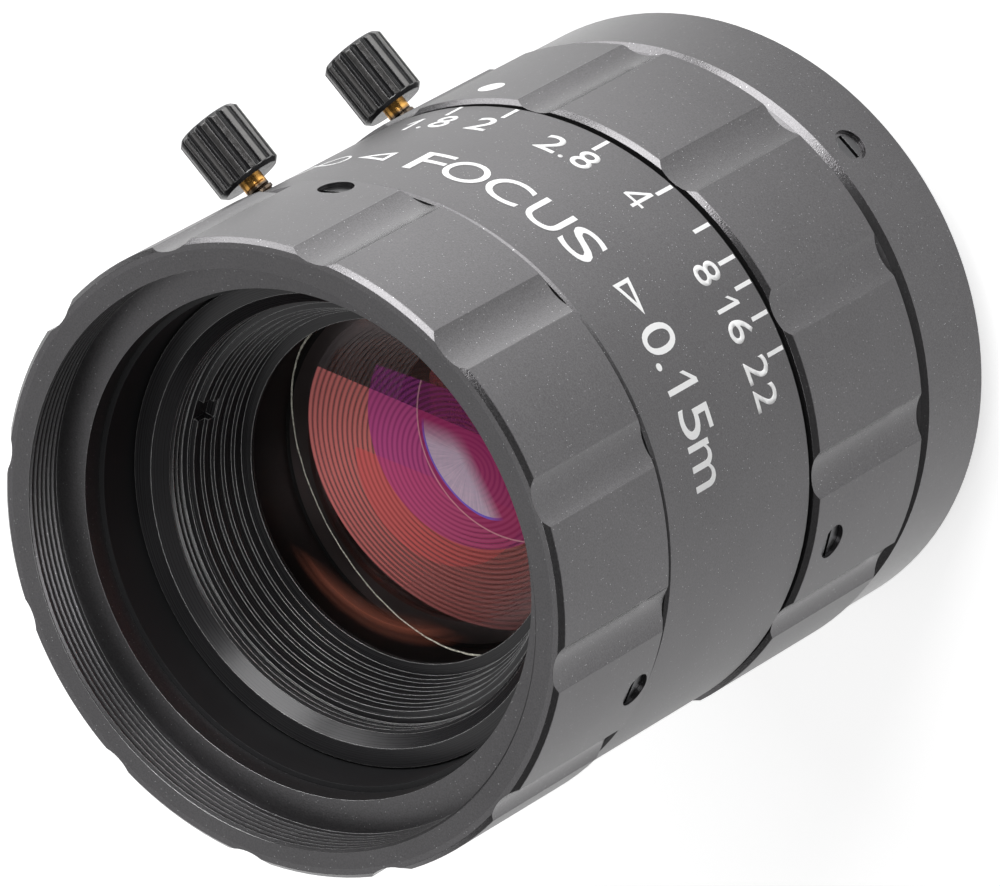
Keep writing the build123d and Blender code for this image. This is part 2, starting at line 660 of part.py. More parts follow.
def make_iris_ring():
    body = turned(
        (DRIVE_RING_R + SEAT, IRIS_Z0),
        (RING_R - EDGE_CHAMFER, IRIS_Z0),
        (RING_R, IRIS_Z0 + EDGE_CHAMFER),
        (RING_R, IRIS_Z1 - RING_CHAMFER_LEN),
        (RING_R - RING_CHAMFER, IRIS_Z1),
        (DRIVE_RING_R + SEAT, IRIS_Z1),
    )
    body -= flute_cutters(RING_R, IRIS_FLUTE_AZ, IRIS_Z0, IRIS_Z1)
    body -= rod(LOCK_HOLE_R, LOCK_AZ, IRIS_LOCK_Z, DRIVE_RING_R - CUT, RING_R + CUT)
    body -= rod(DOT_R + SEAT, DOT_AZ, IRIS_SCREW_Z, RING_R - DOT_LEN, RING_R + CUT)
    for az in IRIS_SCREW_AZ:
        body -= rod(RING_SCREW_HOLE_R, az, IRIS_SCREW_Z, DRIVE_RING_R - CUT, RING_R + CUT)
    return body


def make_lock_screw(z, tip_r, knob_r):
    """Brass screw: threaded shank, plain neck and a tail held in the knob."""
    shank = rod(LOCK_R, LOCK_AZ, z, tip_r, knob_r - NECK_LEN)
    return shank + rod(NECK_R, LOCK_AZ, z, knob_r - NECK_LEN, knob_r + KNOB_BORE_DEPTH)


def make_lock_knob(z, knob_r):
    """Knob with straight grooves that stop short of its inner end."""
    place = Plane(origin=polar(knob_r, LOCK_AZ, z), x_dir=(0, 0, 1), z_dir=polar(1, LOCK_AZ))
    body = extrude(Circle(KNOB_R), KNOB_LEN)
    body = chamfer(body.edges().filter_by(GeomType.CIRCLE), KNOB_CHAMFER)
    body -= extrude(Circle(NECK_R + SEAT), KNOB_BORE_DEPTH + SEAT)
    groove = Pos(0, 0, KNOB_CHAMFER) * extrude(Circle(KNOB_GROOVE_R), KNOB_LEN)
    for i in range(KNOB_GROOVES):
        body -= Pos(*polar(KNOB_R, i * 360 / KNOB_GROOVES)) * groove
    return place * body


def make_screws(radius, azimuths, z, tip_r, end_r):
    return Compound([slotted_screw(radius, az, z, tip_r, end_r) for az in azimuths])


def build():
    stack = rear_stack()
    focus_end_r = RING_R - RING_SCREW_SINK
    mount_end_r = BAND_R - MOUNT_SCREW_SINK
    focus_knob_r = BAND_R + FOCUS_KNOB_STANDOFF
    iris_knob_r = RING_R + IRIS_KNOB_STANDOFF
    parts = {
        "mount_housing": make_mount_housing(),
        "mount_set_screws": make_screws(MOUNT_SCREW_R, MOUNT_SCREW_AZ, MOUNT_SCREW_Z, TUBE_R, mount_end_r),
        "main_barrel": make_main_barrel(),
        "focus_retaining_ring": ring(SLEEVE_NECK_R + RUN, RETAINER_R, RETAINER_Z0, BAND_Z1),
        "focus_guide_pin": rod(GUIDE_PIN_R, GUIDE_AZ, GUIDE_Z, SKIRT_R + GUIDE_PIN_GAP, TUBE_R - RUN),
        "focus_ring": make_focus_ring(),
        "focus_sleeve": make_focus_sleeve(),
        "focus_set_screws": make_screws(
            RING_SCREW_R, FOCUS_SCREW_AZ, FOCUS_SCREW_Z, SLEEVE_NECK_R, focus_end_r
        ),
        "lens_cell": make_lens_cell(),
        "front_retaining_ring": make_front_retaining_ring(),
        "front_element": element(
            FRONT_R, FRONT_RIM_Z, FRONT_BULGE, FRONT_BACK_Z, FRONT_HOLLOW, FRONT_HOLLOW_R
        ),
        "baffle_spacer": make_baffle_spacer(),
        "second_element": element(SECOND_R, SECOND_RIM_Z, SECOND_BULGE, SECOND_BACK_Z, -CEMENT_BULGE),
        "third_element": element(SECOND_R, THIRD_RIM_Z, -CEMENT_BULGE, THIRD_BACK_Z, THIRD_HOLLOW),
        "iris_base_plate": make_iris_base_plate(),
        "iris_rotor": make_iris_rotor(),
        "rear_cell": make_rear_cell(),
        "fourth_element": element(
            REAR_R, stack["fourth"][0], -FOURTH_HOLLOW, stack["fourth"][1], -FOURTH_BULGE
        ),
        "rear_spacer_front": ring(SPACER_IN_R, REAR_R, *stack["spacer"]),
        "fifth_element": element(
            REAR_R, stack["fifth"][0], FIFTH_BULGE, stack["fifth"][1], -REAR_CEMENT_BULGE
        ),
        "sixth_element": element(
            REAR_R, stack["sixth"][0], -REAR_CEMENT_BULGE, stack["sixth"][1], -SIXTH_BULGE
        ),
        "rear_spacer_back": ring(SPACER_IN_R, REAR_R, *stack["last"]),
        "rear_retaining_ring": make_rear_retaining_ring(*stack["ring"]),
        "iris_drive_ring": make_iris_drive_ring(),
        "iris_drive_pin": rod(DRIVE_PIN_R, DRIVE_AZ, DRIVE_Z, ROTOR_ARM_R + PLAY, DRIVE_RING_R),
        "iris_ring": make_iris_ring(),
        "iris_index_dot": rod(DOT_R, DOT_AZ, IRIS_SCREW_Z, RING_R - DOT_LEN, RING_R),
        "iris_set_screws": make_screws(
            RING_SCREW_R, IRIS_SCREW_AZ, IRIS_SCREW_Z, DRIVE_RING_R, focus_end_r
        ),
        "focus_lock_screw": make_lock_screw(FOCUS_LOCK_Z, SLEEVE_R + PLAY, focus_knob_r),
        "focus_lock_knob": make_lock_knob(FOCUS_LOCK_Z, focus_knob_r),
        "iris_lock_screw": make_lock_screw(IRIS_LOCK_Z, TUBE_R + PLAY, iris_knob_r),
        "iris_lock_knob": make_lock_knob(IRIS_LOCK_Z, iris_knob_r),
    }
    for index in range(BLADES):
        parts[f"iris_blade_{index + 1}"] = make_blade(index)
    return parts


os.makedirs("parts", exist_ok=True)
for name, shape in build().items():
    export_step(shape, f"parts/{name}.step")
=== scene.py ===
"""Looks of a machine vision lens: finishes, threads, dial markings, glass and studio."""

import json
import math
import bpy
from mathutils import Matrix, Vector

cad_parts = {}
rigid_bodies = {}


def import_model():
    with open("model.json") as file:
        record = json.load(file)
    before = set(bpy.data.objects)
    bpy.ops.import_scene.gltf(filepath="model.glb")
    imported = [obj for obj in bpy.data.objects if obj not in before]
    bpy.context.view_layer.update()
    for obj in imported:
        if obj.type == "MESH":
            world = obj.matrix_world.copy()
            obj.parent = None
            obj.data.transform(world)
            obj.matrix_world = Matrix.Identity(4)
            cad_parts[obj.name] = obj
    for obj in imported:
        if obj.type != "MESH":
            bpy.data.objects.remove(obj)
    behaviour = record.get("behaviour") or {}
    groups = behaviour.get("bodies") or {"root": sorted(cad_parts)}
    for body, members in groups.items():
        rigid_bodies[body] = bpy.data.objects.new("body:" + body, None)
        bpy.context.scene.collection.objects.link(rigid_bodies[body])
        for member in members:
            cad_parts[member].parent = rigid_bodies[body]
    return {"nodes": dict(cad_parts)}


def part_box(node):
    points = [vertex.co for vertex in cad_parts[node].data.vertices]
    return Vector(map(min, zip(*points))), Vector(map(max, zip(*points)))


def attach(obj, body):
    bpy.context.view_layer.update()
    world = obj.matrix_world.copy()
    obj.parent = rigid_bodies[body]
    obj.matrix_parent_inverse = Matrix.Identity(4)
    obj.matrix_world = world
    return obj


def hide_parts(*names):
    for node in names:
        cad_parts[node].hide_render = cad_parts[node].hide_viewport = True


bl_info = {
    "name": "Machine vision lens",
    "version": (1, 0, 0),
    "blender": (4, 5, 0),
    "location": "3D View > Sidebar > Lens",
    "description": "Dresses the packed lens with its finishes, threads, markings and studio",
    "category": "Object",
}

import bmesh
import bpy
from bpy.props import FloatProperty, FloatVectorProperty, PointerProperty
from mathutils import Matrix, Vector

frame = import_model()
NODES = frame["nodes"]
MM = 0.001
BAND_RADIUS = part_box("main_barrel")[1].x
MOUNT_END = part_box("mount_housing")[0].z
WHITE = (1.0, 1.0, 1.0)

# Both lock screws point the same way, each at its own distance from the flange
LOCK_AZIMUTH = math.radians(11.5)
FOCUS_LOCK_Z = 30.3 * MM
IRIS_LOCK_Z = 13.0 * MM

# Radii of the threads' crests, and how far a lock screw's thread is cut past its ends
MOUNT_CREST = 12.7 * MM
FILTER_CREST = 15.0 * MM
HOOD_CREST = 20.19 * MM
LOCK_CREST = 0.96 * MM
LOCK_OVERRUN = 0.3 * MM

# Sizes of the finishes: radii that part a knob's crests, painted lighter as a highlight, from its grooves,
# a ring's flutes and its threads, whose edges get painted glints, from the rest, a lock screw's browned
# root from its neck and the glass from its blackened rim, a knob's rounded edge, and the pitch of the tool
# lines
KNOB_CREST = 2.38 * MM
KNOB_EDGE = 0.12 * MM
TOOL_LINE = 0.09 * MM
FLUTE_TOP = 22.26 * MM
FLUTE_DEPTH = 0.7 * MM
THREAD_GLINT_RADIUS = 20.6 * MM
BROWNED_ROOT = 23.1 * MM
FRONT_GLASS = 12.42 * MM
INNER_GLASS = 8.4 * MM

# The front glass carries painted light: discs that lie deep in the lens, seen along lines of sight of this
# slope.
# Each has a radius, a depth, a shift, a lean and a squash.
SIGHT_SLOPE = 0.8183
SEEN = {
    "grooves": (0.01201, 0.03114, -0.00071, -0.15, 1.024),
    "rim": (0.01252, 0.03659, -0.00013, 0.0, 1.474),
    "orange": (0.00689, 0.03342, 0.00004, 0.0, 1.0),
    "purple": (0.00813, 0.02907, 0.00114, 0.0, 1.0),
    "crimson": (0.00759, 0.02516, -0.00026, 0.0, 1.0),
    "pupil": (0.00474, 0.0302, -0.00027, -0.123, 1.53),
}
GROOVE_PITCH = 0.38 * MM
GLASS_CAP = 37.8 * MM
RIM_CAP = 37.6 * MM

# Edges of the zones of painted reflection in the glass: a direction, and the distance along it where a zone
# starts
SALMON_EDGE = ((-0.6086, 0.6141, 0.5025), 0.013744)
ORANGE_EDGE = ((-0.6278, 0.6024, 0.4929), 0.017223)
PURPLE_EDGE = ((-0.6584, 0.5825, 0.4766), 0.010829)


def size_prop(name, description, default):
    """Length that a user may change."""
    return FloatProperty(
        name=name, description=description, default=default, min=0.0, unit="LENGTH", precision=5
    )


def watts_prop(name, description, default):
    """Power of a lamp."""
    return FloatProperty(name=name, description=description, default=default, min=0.0, unit="POWER")


def colour_prop(name, description, default):
    """Colour that a user may change."""
    return FloatVectorProperty(
        name=name, description=description, default=default, subtype="COLOR", size=3, min=0.0, max=1.0
    )


class LensThreads(bpy.types.PropertyGroup):
    """Sizes of the threads"""

    mount_pitch: size_prop("Mount pitch", "Distance between crests of the mount thread", 0.00079375)
    mount_depth: size_prop("Mount depth", "Depth of the mount thread", 0.00045)
    fine_pitch: size_prop("Fine pitch", "Distance between crests of the front threads", 0.0005)
    fine_depth: size_prop("Fine depth", "Depth of the front threads", 0.00027)
    screw_pitch: size_prop("Screw pitch", "Distance between crests of the lock screws", 0.0004)
    screw_depth: size_prop("Screw depth", "Depth of the lock screws' thread", 0.00017)


class LensDial(bpy.types.PropertyGroup):
    """Sizes of the dial's markings"""

    ink_height: size_prop("Ink height", "How far the markings stand on the scale band", 0.000022)
    ink_root: size_prop("Ink root", "How far the markings reach into the scale band", 0.00004)
    tick_width: size_prop("Tick width", "Width of an aperture tick", 0.00031)
    tick_near: size_prop("Tick near end", "Distance of the ticks' near end from the flange", 0.02233)
    tick_far: size_prop("Tick far end", "Distance of the ticks' far end from the flange", 0.0242)
    line_width: size_prop("Line width", "Width of the triangles' and the infinity sign's lines", 0.0003)


class LensFinish(bpy.types.PropertyGroup):
    """Colours of the finishes"""

    anodise: colour_prop("Anodise", "Blasted anodise of the rings and the band", (0.125, 0.122, 0.126))
    anodise_rough: FloatProperty(
        name="Anodise roughness", description="Roughness of the blasted anodise", default=0.36,
        subtype="FACTOR",
    )
    inner: colour_prop("Inner black", "Matt black anodise inside the lens", (0.012, 0.012, 0.013))
    satin: colour_prop("Satin black", "Turned black anodise of the lens cell", (0.022, 0.0215, 0.023))
    knob: colour_prop("Knob black", "Glossy black in the knobs' grooves", (0.012, 0.012, 0.013))
    # The knobs' crests are painted as a lighter metal: a painted highlight
    knob_crest_sheen: colour_prop("Knob crests", "Rubbed metal on the knobs' crests", (0.14, 0.137, 0.135))
    brass: colour_prop("Brass", "Turned brass of the lock screws", (0.82, 0.43, 0.11))
    ink: colour_prop("Ink", "White of the dial markings", (0.86, 0.86, 0.86))
    outer_coat: colour_prop("Outer coating", "Reflection of the front element", (1.0, 0.26, 0.16))
    inner_coat: colour_prop("Inner coating", "Reflection of the second element", (1.0, 0.22, 0.07))
    deep_coat: colour_prop("Deep coating", "Reflection of the cemented glass", (0.75, 0.06, 0.30))


class LensStage(bpy.types.PropertyGroup):
    """Sizes and lamps of the stage"""

    floor_size: size_prop("Floor size", "Side of the square floor", 6.0)
    lens_mm: FloatProperty(name="Focal length", description="Camera focal length in mm", default=446.7)
    key_watts: watts_prop("Key", "Power of the main softbox", 5.0)
    side_watts: watts_prop("Side", "Power of the low softbox beside it", 2.2)
    far_watts: watts_prop("Far", "Power of the far softbox overhead", 1.1)
    near_watts: watts_prop("Near", "Power of the near softbox overhead", 2.0)


# Node helpers


def new_material(name):
    """Empty material and its node tree."""
    material = bpy.data.materials.get(name) or bpy.data.materials.new(name)
    material.use_nodes = True
    material.node_tree.nodes.clear()
    return material, material.node_tree


def add(tree, kind, **values):
    """New node with its own settings."""
    node = tree.nodes.new(kind)
    for key, value in values.items():
        setattr(node, key, value)
    return node


def connect(tree, value, socket):
    """Gives an input another node's output, or a value."""
    if isinstance(value, bpy.types.NodeSocket):
        tree.links.new(value, socket)
    else:
        socket.default_value = value


def feed(tree, node, **values):
    """Sets a node's inputs by name, with a value or with another node's output."""
    for key, value in values.items():
        connect(tree, value, node.inputs[key.replace("_", " ")])
    return node


def rgba(colour, share=1.0):
    """Solid colour, made darker or lighter by a share."""
    return (*(min(1.0, c * share) for c in colour), 1.0)


def place_input(tree):
    """Place on the piece, in the lens's own frame."""
    return add(tree, "ShaderNodeTexCoord").outputs["Object"]


def math_node(tree, operation, a, b=0.0, c=0.0):
    """Result of a sum on values."""
    node = add(tree, "ShaderNodeMath", operation=operation)
    for socket, value in zip(node.inputs, (a, b, c)):
        connect(tree, value, socket)
    return node.outputs[0]


def both(tree, a, b):
    """Product of two values."""
    return math_node(tree, "MULTIPLY", a, b)


def ramp(tree, value, slope, start):
    """The value times slope, plus start, kept between 0 and 1."""
    output = math_node(tree, "MULTIPLY_ADD", value, slope, start)
    output.node.use_clamp = True
    return output


def vector_node(tree, operation, a, b=None):
    """Outputs of a sum on vectors."""
    node = add(tree, "ShaderNodeVectorMath", operation=operation)
    connect(tree, a, node.inputs[0])
    if b is not None:
        connect(tree, b, node.inputs[1])
    return node.outputs


def split_xyz(tree, vector):
    """X, Y and Z of a vector."""
    node = add(tree, "ShaderNodeSeparateXYZ")
    tree.links.new(vector, node.inputs[0])
    return tuple(node.outputs)


def join_xy(tree, x, y):
    """Flat vector of two values."""
    node = add(tree, "ShaderNodeCombineXYZ")
    feed(tree, node, X=x, Y=y)
    return node.outputs[0]


def noise(tree, place, scale, detail=2.0):
    """Soft random pattern."""
    node = add(tree, "ShaderNodeTexNoise")
    feed(tree, node, Vector=place, Scale=scale, Detail=detail)
    return node.outputs["Fac"]


def line_noise(tree, where, scale, detail):
    """Random pattern that changes with one value only."""
    node = add(tree, "ShaderNodeTexNoise", noise_dimensions="1D")
    feed(tree, node, W=where, Scale=scale, Detail=detail)
    return node.outputs["Fac"]


def mix_colour(tree, factor, a, b, blend="MIX"):
    """Colour a where the factor is 0, and b, or a blended with b, where it is 1."""
    node = add(tree, "ShaderNodeMix", data_type="RGBA", blend_type=blend)
    for index, value in ((0, factor), (6, a), (7, b)):
        connect(tree, value, node.inputs[index])
    return node.outputs[2]


def toned(tree, tone, colour, low, high):
    """The colour, between low and high times itself as the tone goes."""
    return mix_colour(tree, tone, rgba(colour, low), rgba(colour, high))


def bump(tree, height, strength, distance, base=None):
    """Normal of a surface with a small relief."""
    node = add(tree, "ShaderNodeBump")
    feed(tree, node, Height=height, Strength=strength, Distance=distance)
    if base is not None:
        tree.links.new(base, node.inputs["Normal"])
    return node.outputs["Normal"]


def soft_edges(tree, radius):
    """Normal that rounds sharp edges a little."""
    node = add(tree, "ShaderNodeBevel", samples=4)
    node.inputs["Radius"].default_value = radius
    return node.outputs["Normal"]


def edge_glint_mask(tree, radius):
    """1 on sharp edges, where glints are painted, and 0 elsewhere."""
    geometry = add(tree, "ShaderNodeNewGeometry")
    turned = vector_node(tree, "DOT_PRODUCT", soft_edges(tree, radius), geometry.outputs["Normal"])
    return ramp(tree, turned["Value"], -8.0, 7.7)


def mixed(tree, share, a, b):
    """Shader a where the share is 0, and b where it is 1."""
    node = add(tree, "ShaderNodeMixShader")
    for socket, value in zip(node.inputs, (share, a, b)):
        connect(tree, value, socket)
    return node.outputs[0]


def principled(tree, **values):
    """Main shader with its inputs set by name."""
    return feed(tree, add(tree, "ShaderNodeBsdfPrincipled"), **values).outputs[0]


def surface(tree, shader):
    """Makes the shader the material's surface."""
    out = add(tree, "ShaderNodeOutputMaterial")
    tree.links.new(shader, out.inputs["Surface"])


def off_axis(tree, place):
    """Distance from the optical axis."""
    flat = vector_node(tree, "MULTIPLY", place, (1.0, 1.0, 0.0))["Vector"]
    return vector_node(tree, "LENGTH", flat)["Value"]


# Finishes


def sparkle(tree, place, cell, radius, share):
    """Painted sparkle, small bright glints: a spot in some cells of a fine cell pattern."""
    cells = add(tree, "ShaderNodeTexVoronoi")
    feed(tree, cells, Vector=place, Scale=1.0 / cell)
    near = math_node(tree, "LESS_THAN", cells.outputs["Distance"], radius)
    split = add(tree, "ShaderNodeSeparateColor")
    tree.links.new(cells.outputs["Color"], split.inputs[0])
    return both(tree, near, math_node(tree, "LESS_THAN", split.outputs[0], share))


def blasted_anodise(name, colour, rough, fluted=False):
    """Bead blasted and black anodised aluminium with painted sparkle: fine bright glints in its colour.

    A fluted ring is smoother in its milled flutes, and its front threads have glints painted on their
    edges.
    """
    material, tree = new_material(name)
    place = place_input(tree)
    tone = noise(tree, place, 140.0, 3.0)
    fine = noise(tree, place, 9000.0, 2.0)
    base = toned(tree, tone, colour, 0.9, 1.1)
    grains = mix_colour(tree, fine, (0.6, 0.6, 0.6, 1.0), (1.4, 1.4, 1.4, 1.0))
    mottled = mix_colour(tree, 1.0, base, grains, "MULTIPLY")
    # Painted sparkle: bright glints in the colour
    spark = sparkle(tree, place, 0.0002, 0.14, 0.17)
    lit = mix_colour(tree, spark, mottled, (0.5, 0.5, 0.51, 1.0))
    roughness = math_node(tree, "MULTIPLY_ADD", fine, 0.16, rough - 0.08)
    if fluted:
        out = off_axis(tree, place)
        # Painted glints on the edges of the front threads
        thread_glints = both(tree, edge_glint_mask(tree, 0.00005), math_node(tree, "LESS_THAN", out, THREAD_GLINT_RADIUS))
        lit = mix_colour(tree, thread_glints, lit, (0.5, 0.5, 0.5, 1.0))
        under_top = math_node(tree, "LESS_THAN", out, FLUTE_TOP)
        flute = both(tree, under_top, math_node(tree, "GREATER_THAN", out, FLUTE_TOP - FLUTE_DEPTH))
        roughness = math_node(tree, "MULTIPLY_ADD", flute, -0.14, roughness)
    normal = bump(tree, fine, 0.5, 0.00002, soft_edges(tree, 0.00004))
    shader = principled(tree, Base_Color=lit, Metallic=0.92, Roughness=roughness, Normal=normal)
    surface(tree, shader)
    return material


def turned_anodise(name, colour, rough, metallic, edge=0.00004, glint_grey=0.0):
    """Turned and anodised aluminium: fine tool lines round the axis, and glints painted on its edges, as
    bright as the given grey.
    """
    material, tree = new_material(name)
    place = place_input(tree)
    along = math_node(tree, "ADD", off_axis(tree, place), split_xyz(tree, place)[2])
    lines = line_noise(tree, along, 1.0 / TOOL_LINE, 2.0)
    base = toned(tree, noise(tree, place, 260.0, 2.0), colour, 0.8, 1.2)
    # Painted glints: the edges lighter in colour
    if glint_grey:
        base = mix_colour(tree, edge_glint_mask(tree, edge), base, rgba([glint_grey] * 3))
    roughness = math_node(tree, "MULTIPLY_ADD", lines, 0.2, rough - 0.1)
    normal = bump(tree, lines, 0.2, 0.00001, soft_edges(tree, edge))
    shader = principled(tree, Base_Color=base, Metallic=metallic, Roughness=roughness, Normal=normal)
    surface(tree, shader)
    return material


def stained(tree, base, metallic, rough, tone, edge):
    """Shader of smooth metal whose gloss and relief follow a pattern of slight stains."""
    roughness = math_node(tree, "MULTIPLY_ADD", tone, 0.2, rough - 0.1)
    normal = bump(tree, tone, 0.15, 0.00001, soft_edges(tree, edge))
    return principled(tree, Base_Color=base, Metallic=metallic, Roughness=roughness, Normal=normal)


def plain_metal(name, colour, rough, scale=1500.0, glint_grey=0.0, browned=0.0):
    """Machined metal with glints painted on its edges, as bright as the given grey, and browned nearer the
    axis than browned.
    """
    material, tree = new_material(name)
    place = place_input(tree)
    tone = noise(tree, place, scale, 3.0)
    base = toned(tree, tone, colour, 0.7, 1.15)
    if browned:
        clean = ramp(tree, off_axis(tree, place), 4000.0, -4000.0 * browned)
        base = mix_colour(tree, clean, (0.13, 0.1, 0.075, 1.0), base)
    # Painted glints: the edges lighter in colour
    if glint_grey:
        base = mix_colour(tree, edge_glint_mask(tree, 0.00003), base, rgba([glint_grey] * 3))
    surface(tree, stained(tree, base, 1.0, rough, tone, 0.00003))
    return material


def knurled_black(name, colour, crest_sheen_colour, rough, height):
    """Black knob at a height on the lens: dark grooves, crests painted as a lighter metal for a painted
    highlight, and glints painted on its edges.
    """
    material, tree = new_material(name)
    place = place_input(tree)
    tone = noise(tree, place, 3000.0, 3.0)
    centred = vector_node(tree, "SUBTRACT", place, (0.0, 0.0, height))["Vector"]
    knob_axis = (math.cos(LOCK_AZIMUTH), math.sin(LOCK_AZIMUTH), 0.0)
    across = vector_node(tree, "CROSS_PRODUCT", centred, knob_axis)["Vector"]
    crest = math_node(tree, "GREATER_THAN", vector_node(tree, "LENGTH", across)["Value"], KNOB_CREST)
    dark = toned(tree, tone, colour, 0.7, 1.15)
    light = toned(tree, tone, crest_sheen_colour, 0.8, 1.2)
    # Painted highlight: the crests a lighter metal than the grooves
    base = mix_colour(tree, crest, dark, light)
    # Painted glints on the knob's edges
    base = mix_colour(tree, edge_glint_mask(tree, KNOB_EDGE), base, (0.2, 0.2, 0.2, 1.0))
    surface(tree, stained(tree, base, both(tree, crest, 0.9), rough, tone, KNOB_EDGE))
    return material


def dial_ink(name, colour):
    """White paint with a slight tooth."""
    material, tree = new_material(name)
    tone = noise(tree, place_input(tree), 5000.0, 2.0)
    base = toned(tree, tone, colour, 0.94, 1.0)
    normal = bump(tree, tone, 0.2, 0.00001)
    surface(tree, principled(tree, Base_Color=base, Roughness=0.55, Normal=normal))
    return material


def coated_glass(name, coat, strength, edge_radius, layers=None, glint=None):
    """Clear glass with a blackened rim that reflects in the colour of its coating.

    layers paints light on the glass itself, and glint paints light on the glass and its rim.
    """
    material, tree = new_material(name)
    place = place_input(tree)
    rim = math_node(tree, "GREATER_THAN", off_axis(tree, place), edge_radius)
    facing = add(tree, "ShaderNodeLayerWeight")
    facing.inputs["Blend"].default_value = 0.12
    stain = noise(tree, place, 90.0, 1.0)
    tint = mix_colour(tree, stain, rgba(coat), rgba([c * 1.25 + 0.02 for c in coat]))
    share = math_node(tree, "MULTIPLY_ADD", facing.outputs["Fresnel"], 0.4, strength)
    clear = add(tree, "ShaderNodeBsdfTransparent")
    clear.inputs["Color"].default_value = (0.97, 0.965, 0.965, 1.0)
    through = clear.outputs[0]
    if layers:
        through = layers(tree, place, through)
    mirror = feed(tree, add(tree, "ShaderNodeBsdfGlossy"), Color=tint, Roughness=0.05)
    glass = mixed(tree, share, through, mirror.outputs[0])
    black = principled(tree, Base_Color=(0.006, 0.006, 0.006, 1.0), Roughness=0.35)
    whole = mixed(tree, rim, glass, black)
    surface(tree, glint(tree, place, whole) if glint else whole)
    return material


# Light in the front glass


def seen_disc(tree, place, shape):
    """Distance from the middle of a disc deep in the lens, in disc radii, and the place from its middle."""
    radius, depth, shift, lean, squash = shape
    x, y, z = split_xyz(tree, place)
    over = math_node(tree, "SUBTRACT", z, depth)
    down = math_node(tree, "MULTIPLY_ADD", over, SIGHT_SLOPE, y)
    across = math_node(tree, "SUBTRACT", x, shift)
    leaning = math_node(tree, "MULTIPLY_ADD", down, lean, across)
    spot = join_xy(tree, leaning, both(tree, down, squash))
    return math_node(tree, "DIVIDE", vector_node(tree, "LENGTH", spot)["Value"], radius), spot


def inside(tree, distance):
    """1 inside a disc and 0 outside it."""
    return math_node(tree, "LESS_THAN", distance, 1.0)


def past_line(tree, place, direction, reach, soft=0.00004):
    """Side of a slanted plane through the glass, with an edge as wide as soft."""
    along = vector_node(tree, "DOT_PRODUCT", place, direction)["Value"]
    return ramp(tree, along, 1.0 / soft, 0.5 - reach / soft)


def past_height(tree, place, height):
    """1 on the front face of the glass, and 0 behind it."""
    return math_node(tree, "GREATER_THAN", split_xyz(tree, place)[2], height)


def thin_line(tree, distance, width):
    """Line along the edge of a disc; width is in disc radii."""
    gap = math_node(tree, "ABSOLUTE", math_node(tree, "SUBTRACT", distance, 1.0))
    return math_node(tree, "LESS_THAN", gap, width)


def painted_veil(tree, under, share, colour):
    """Painted veil of coloured light: a diffuse colour over what is under it."""
    veil = feed(tree, add(tree, "ShaderNodeBsdfDiffuse"), Color=colour)
    return mixed(tree, share, under, veil.outputs[0])


def painted_groove_rings(tree, distance):
    """Painted light and dark rings of the lit grooves behind the glass."""
    turns = 2 * math.pi * SEEN["grooves"][0] / GROOVE_PITCH
    return ramp(tree, math_node(tree, "SINE", both(tree, distance, turns)), 0.42, 0.78)


def front_reflections(tree, place, under):
    """Painted reflections that the coated elements give in the front glass, over a painted view of the
    grooves behind it.
    """
    cap = past_height(tree, place, GLASS_CAP)
    grooves, orange, purple, crimson = (
        seen_disc(tree, place, SEEN[name])[0] for name in ("grooves", "orange", "purple", "crimson")
    )
    # Painted light and dark rings of the grooves
    ridge = painted_groove_rings(tree, grooves)
    fade = ramp(tree, split_xyz(tree, place)[0], 55.0, 0.8)
    under_salmon = past_line(tree, place, *SALMON_EDGE)
    under_purple = past_line(tree, place, *PURPLE_EDGE)
    groove_zone = inside(tree, grooves)
    purple_zone = both(tree, inside(tree, purple), under_purple)
    crimson_zone = both(tree, inside(tree, crimson), under_purple)
    orange_zone = both(tree, inside(tree, orange), past_line(tree, place, *ORANGE_EDGE))
    beside_purple = math_node(tree, "MULTIPLY_ADD", purple_zone, -0.5, 1.0)
    # Painted reflections and a painted view of the grooves: zone, strength, colour, and whether the rings
    # show
    veils = (
        (groove_zone, 0.07, (0.5, 0.44, 0.46), True),
        (both(tree, groove_zone, under_salmon), 0.78, (0.92, 0.26, 0.25), True),
        (purple_zone, 0.36, (0.6, 0.05, 0.5), True),
        (both(tree, purple_zone, under_salmon), 0.42, (0.5, 0.015, 0.32), False),
        (both(tree, orange_zone, beside_purple), 0.4, (0.95, 0.1, 0.11), False),
        (crimson_zone, 0.4, (0.14, 0.02, 0.06), False),
        (both(tree, crimson_zone, under_salmon), 0.6, (0.45, 0.03, 0.16), False),
    )
    for zone, strength, colour, shows_painted_rings in veils:
        share = both(tree, both(tree, zone, cap), both(tree, fade, strength))
        if shows_painted_rings:
            share = both(tree, share, ridge)
        under = painted_veil(tree, under, share, rgba(colour))
    under = pupil_light(tree, place, under, cap)
    # Painted bright line along the crimson disc's edge
    line = both(tree, both(tree, thin_line(tree, crimson, 0.007), purple_zone), cap)
    under = painted_veil(tree, under, both(tree, line, 0.45), (1.0, 0.6, 0.6, 1.0))
    return painted_brown_reflection(tree, place, under, cap)


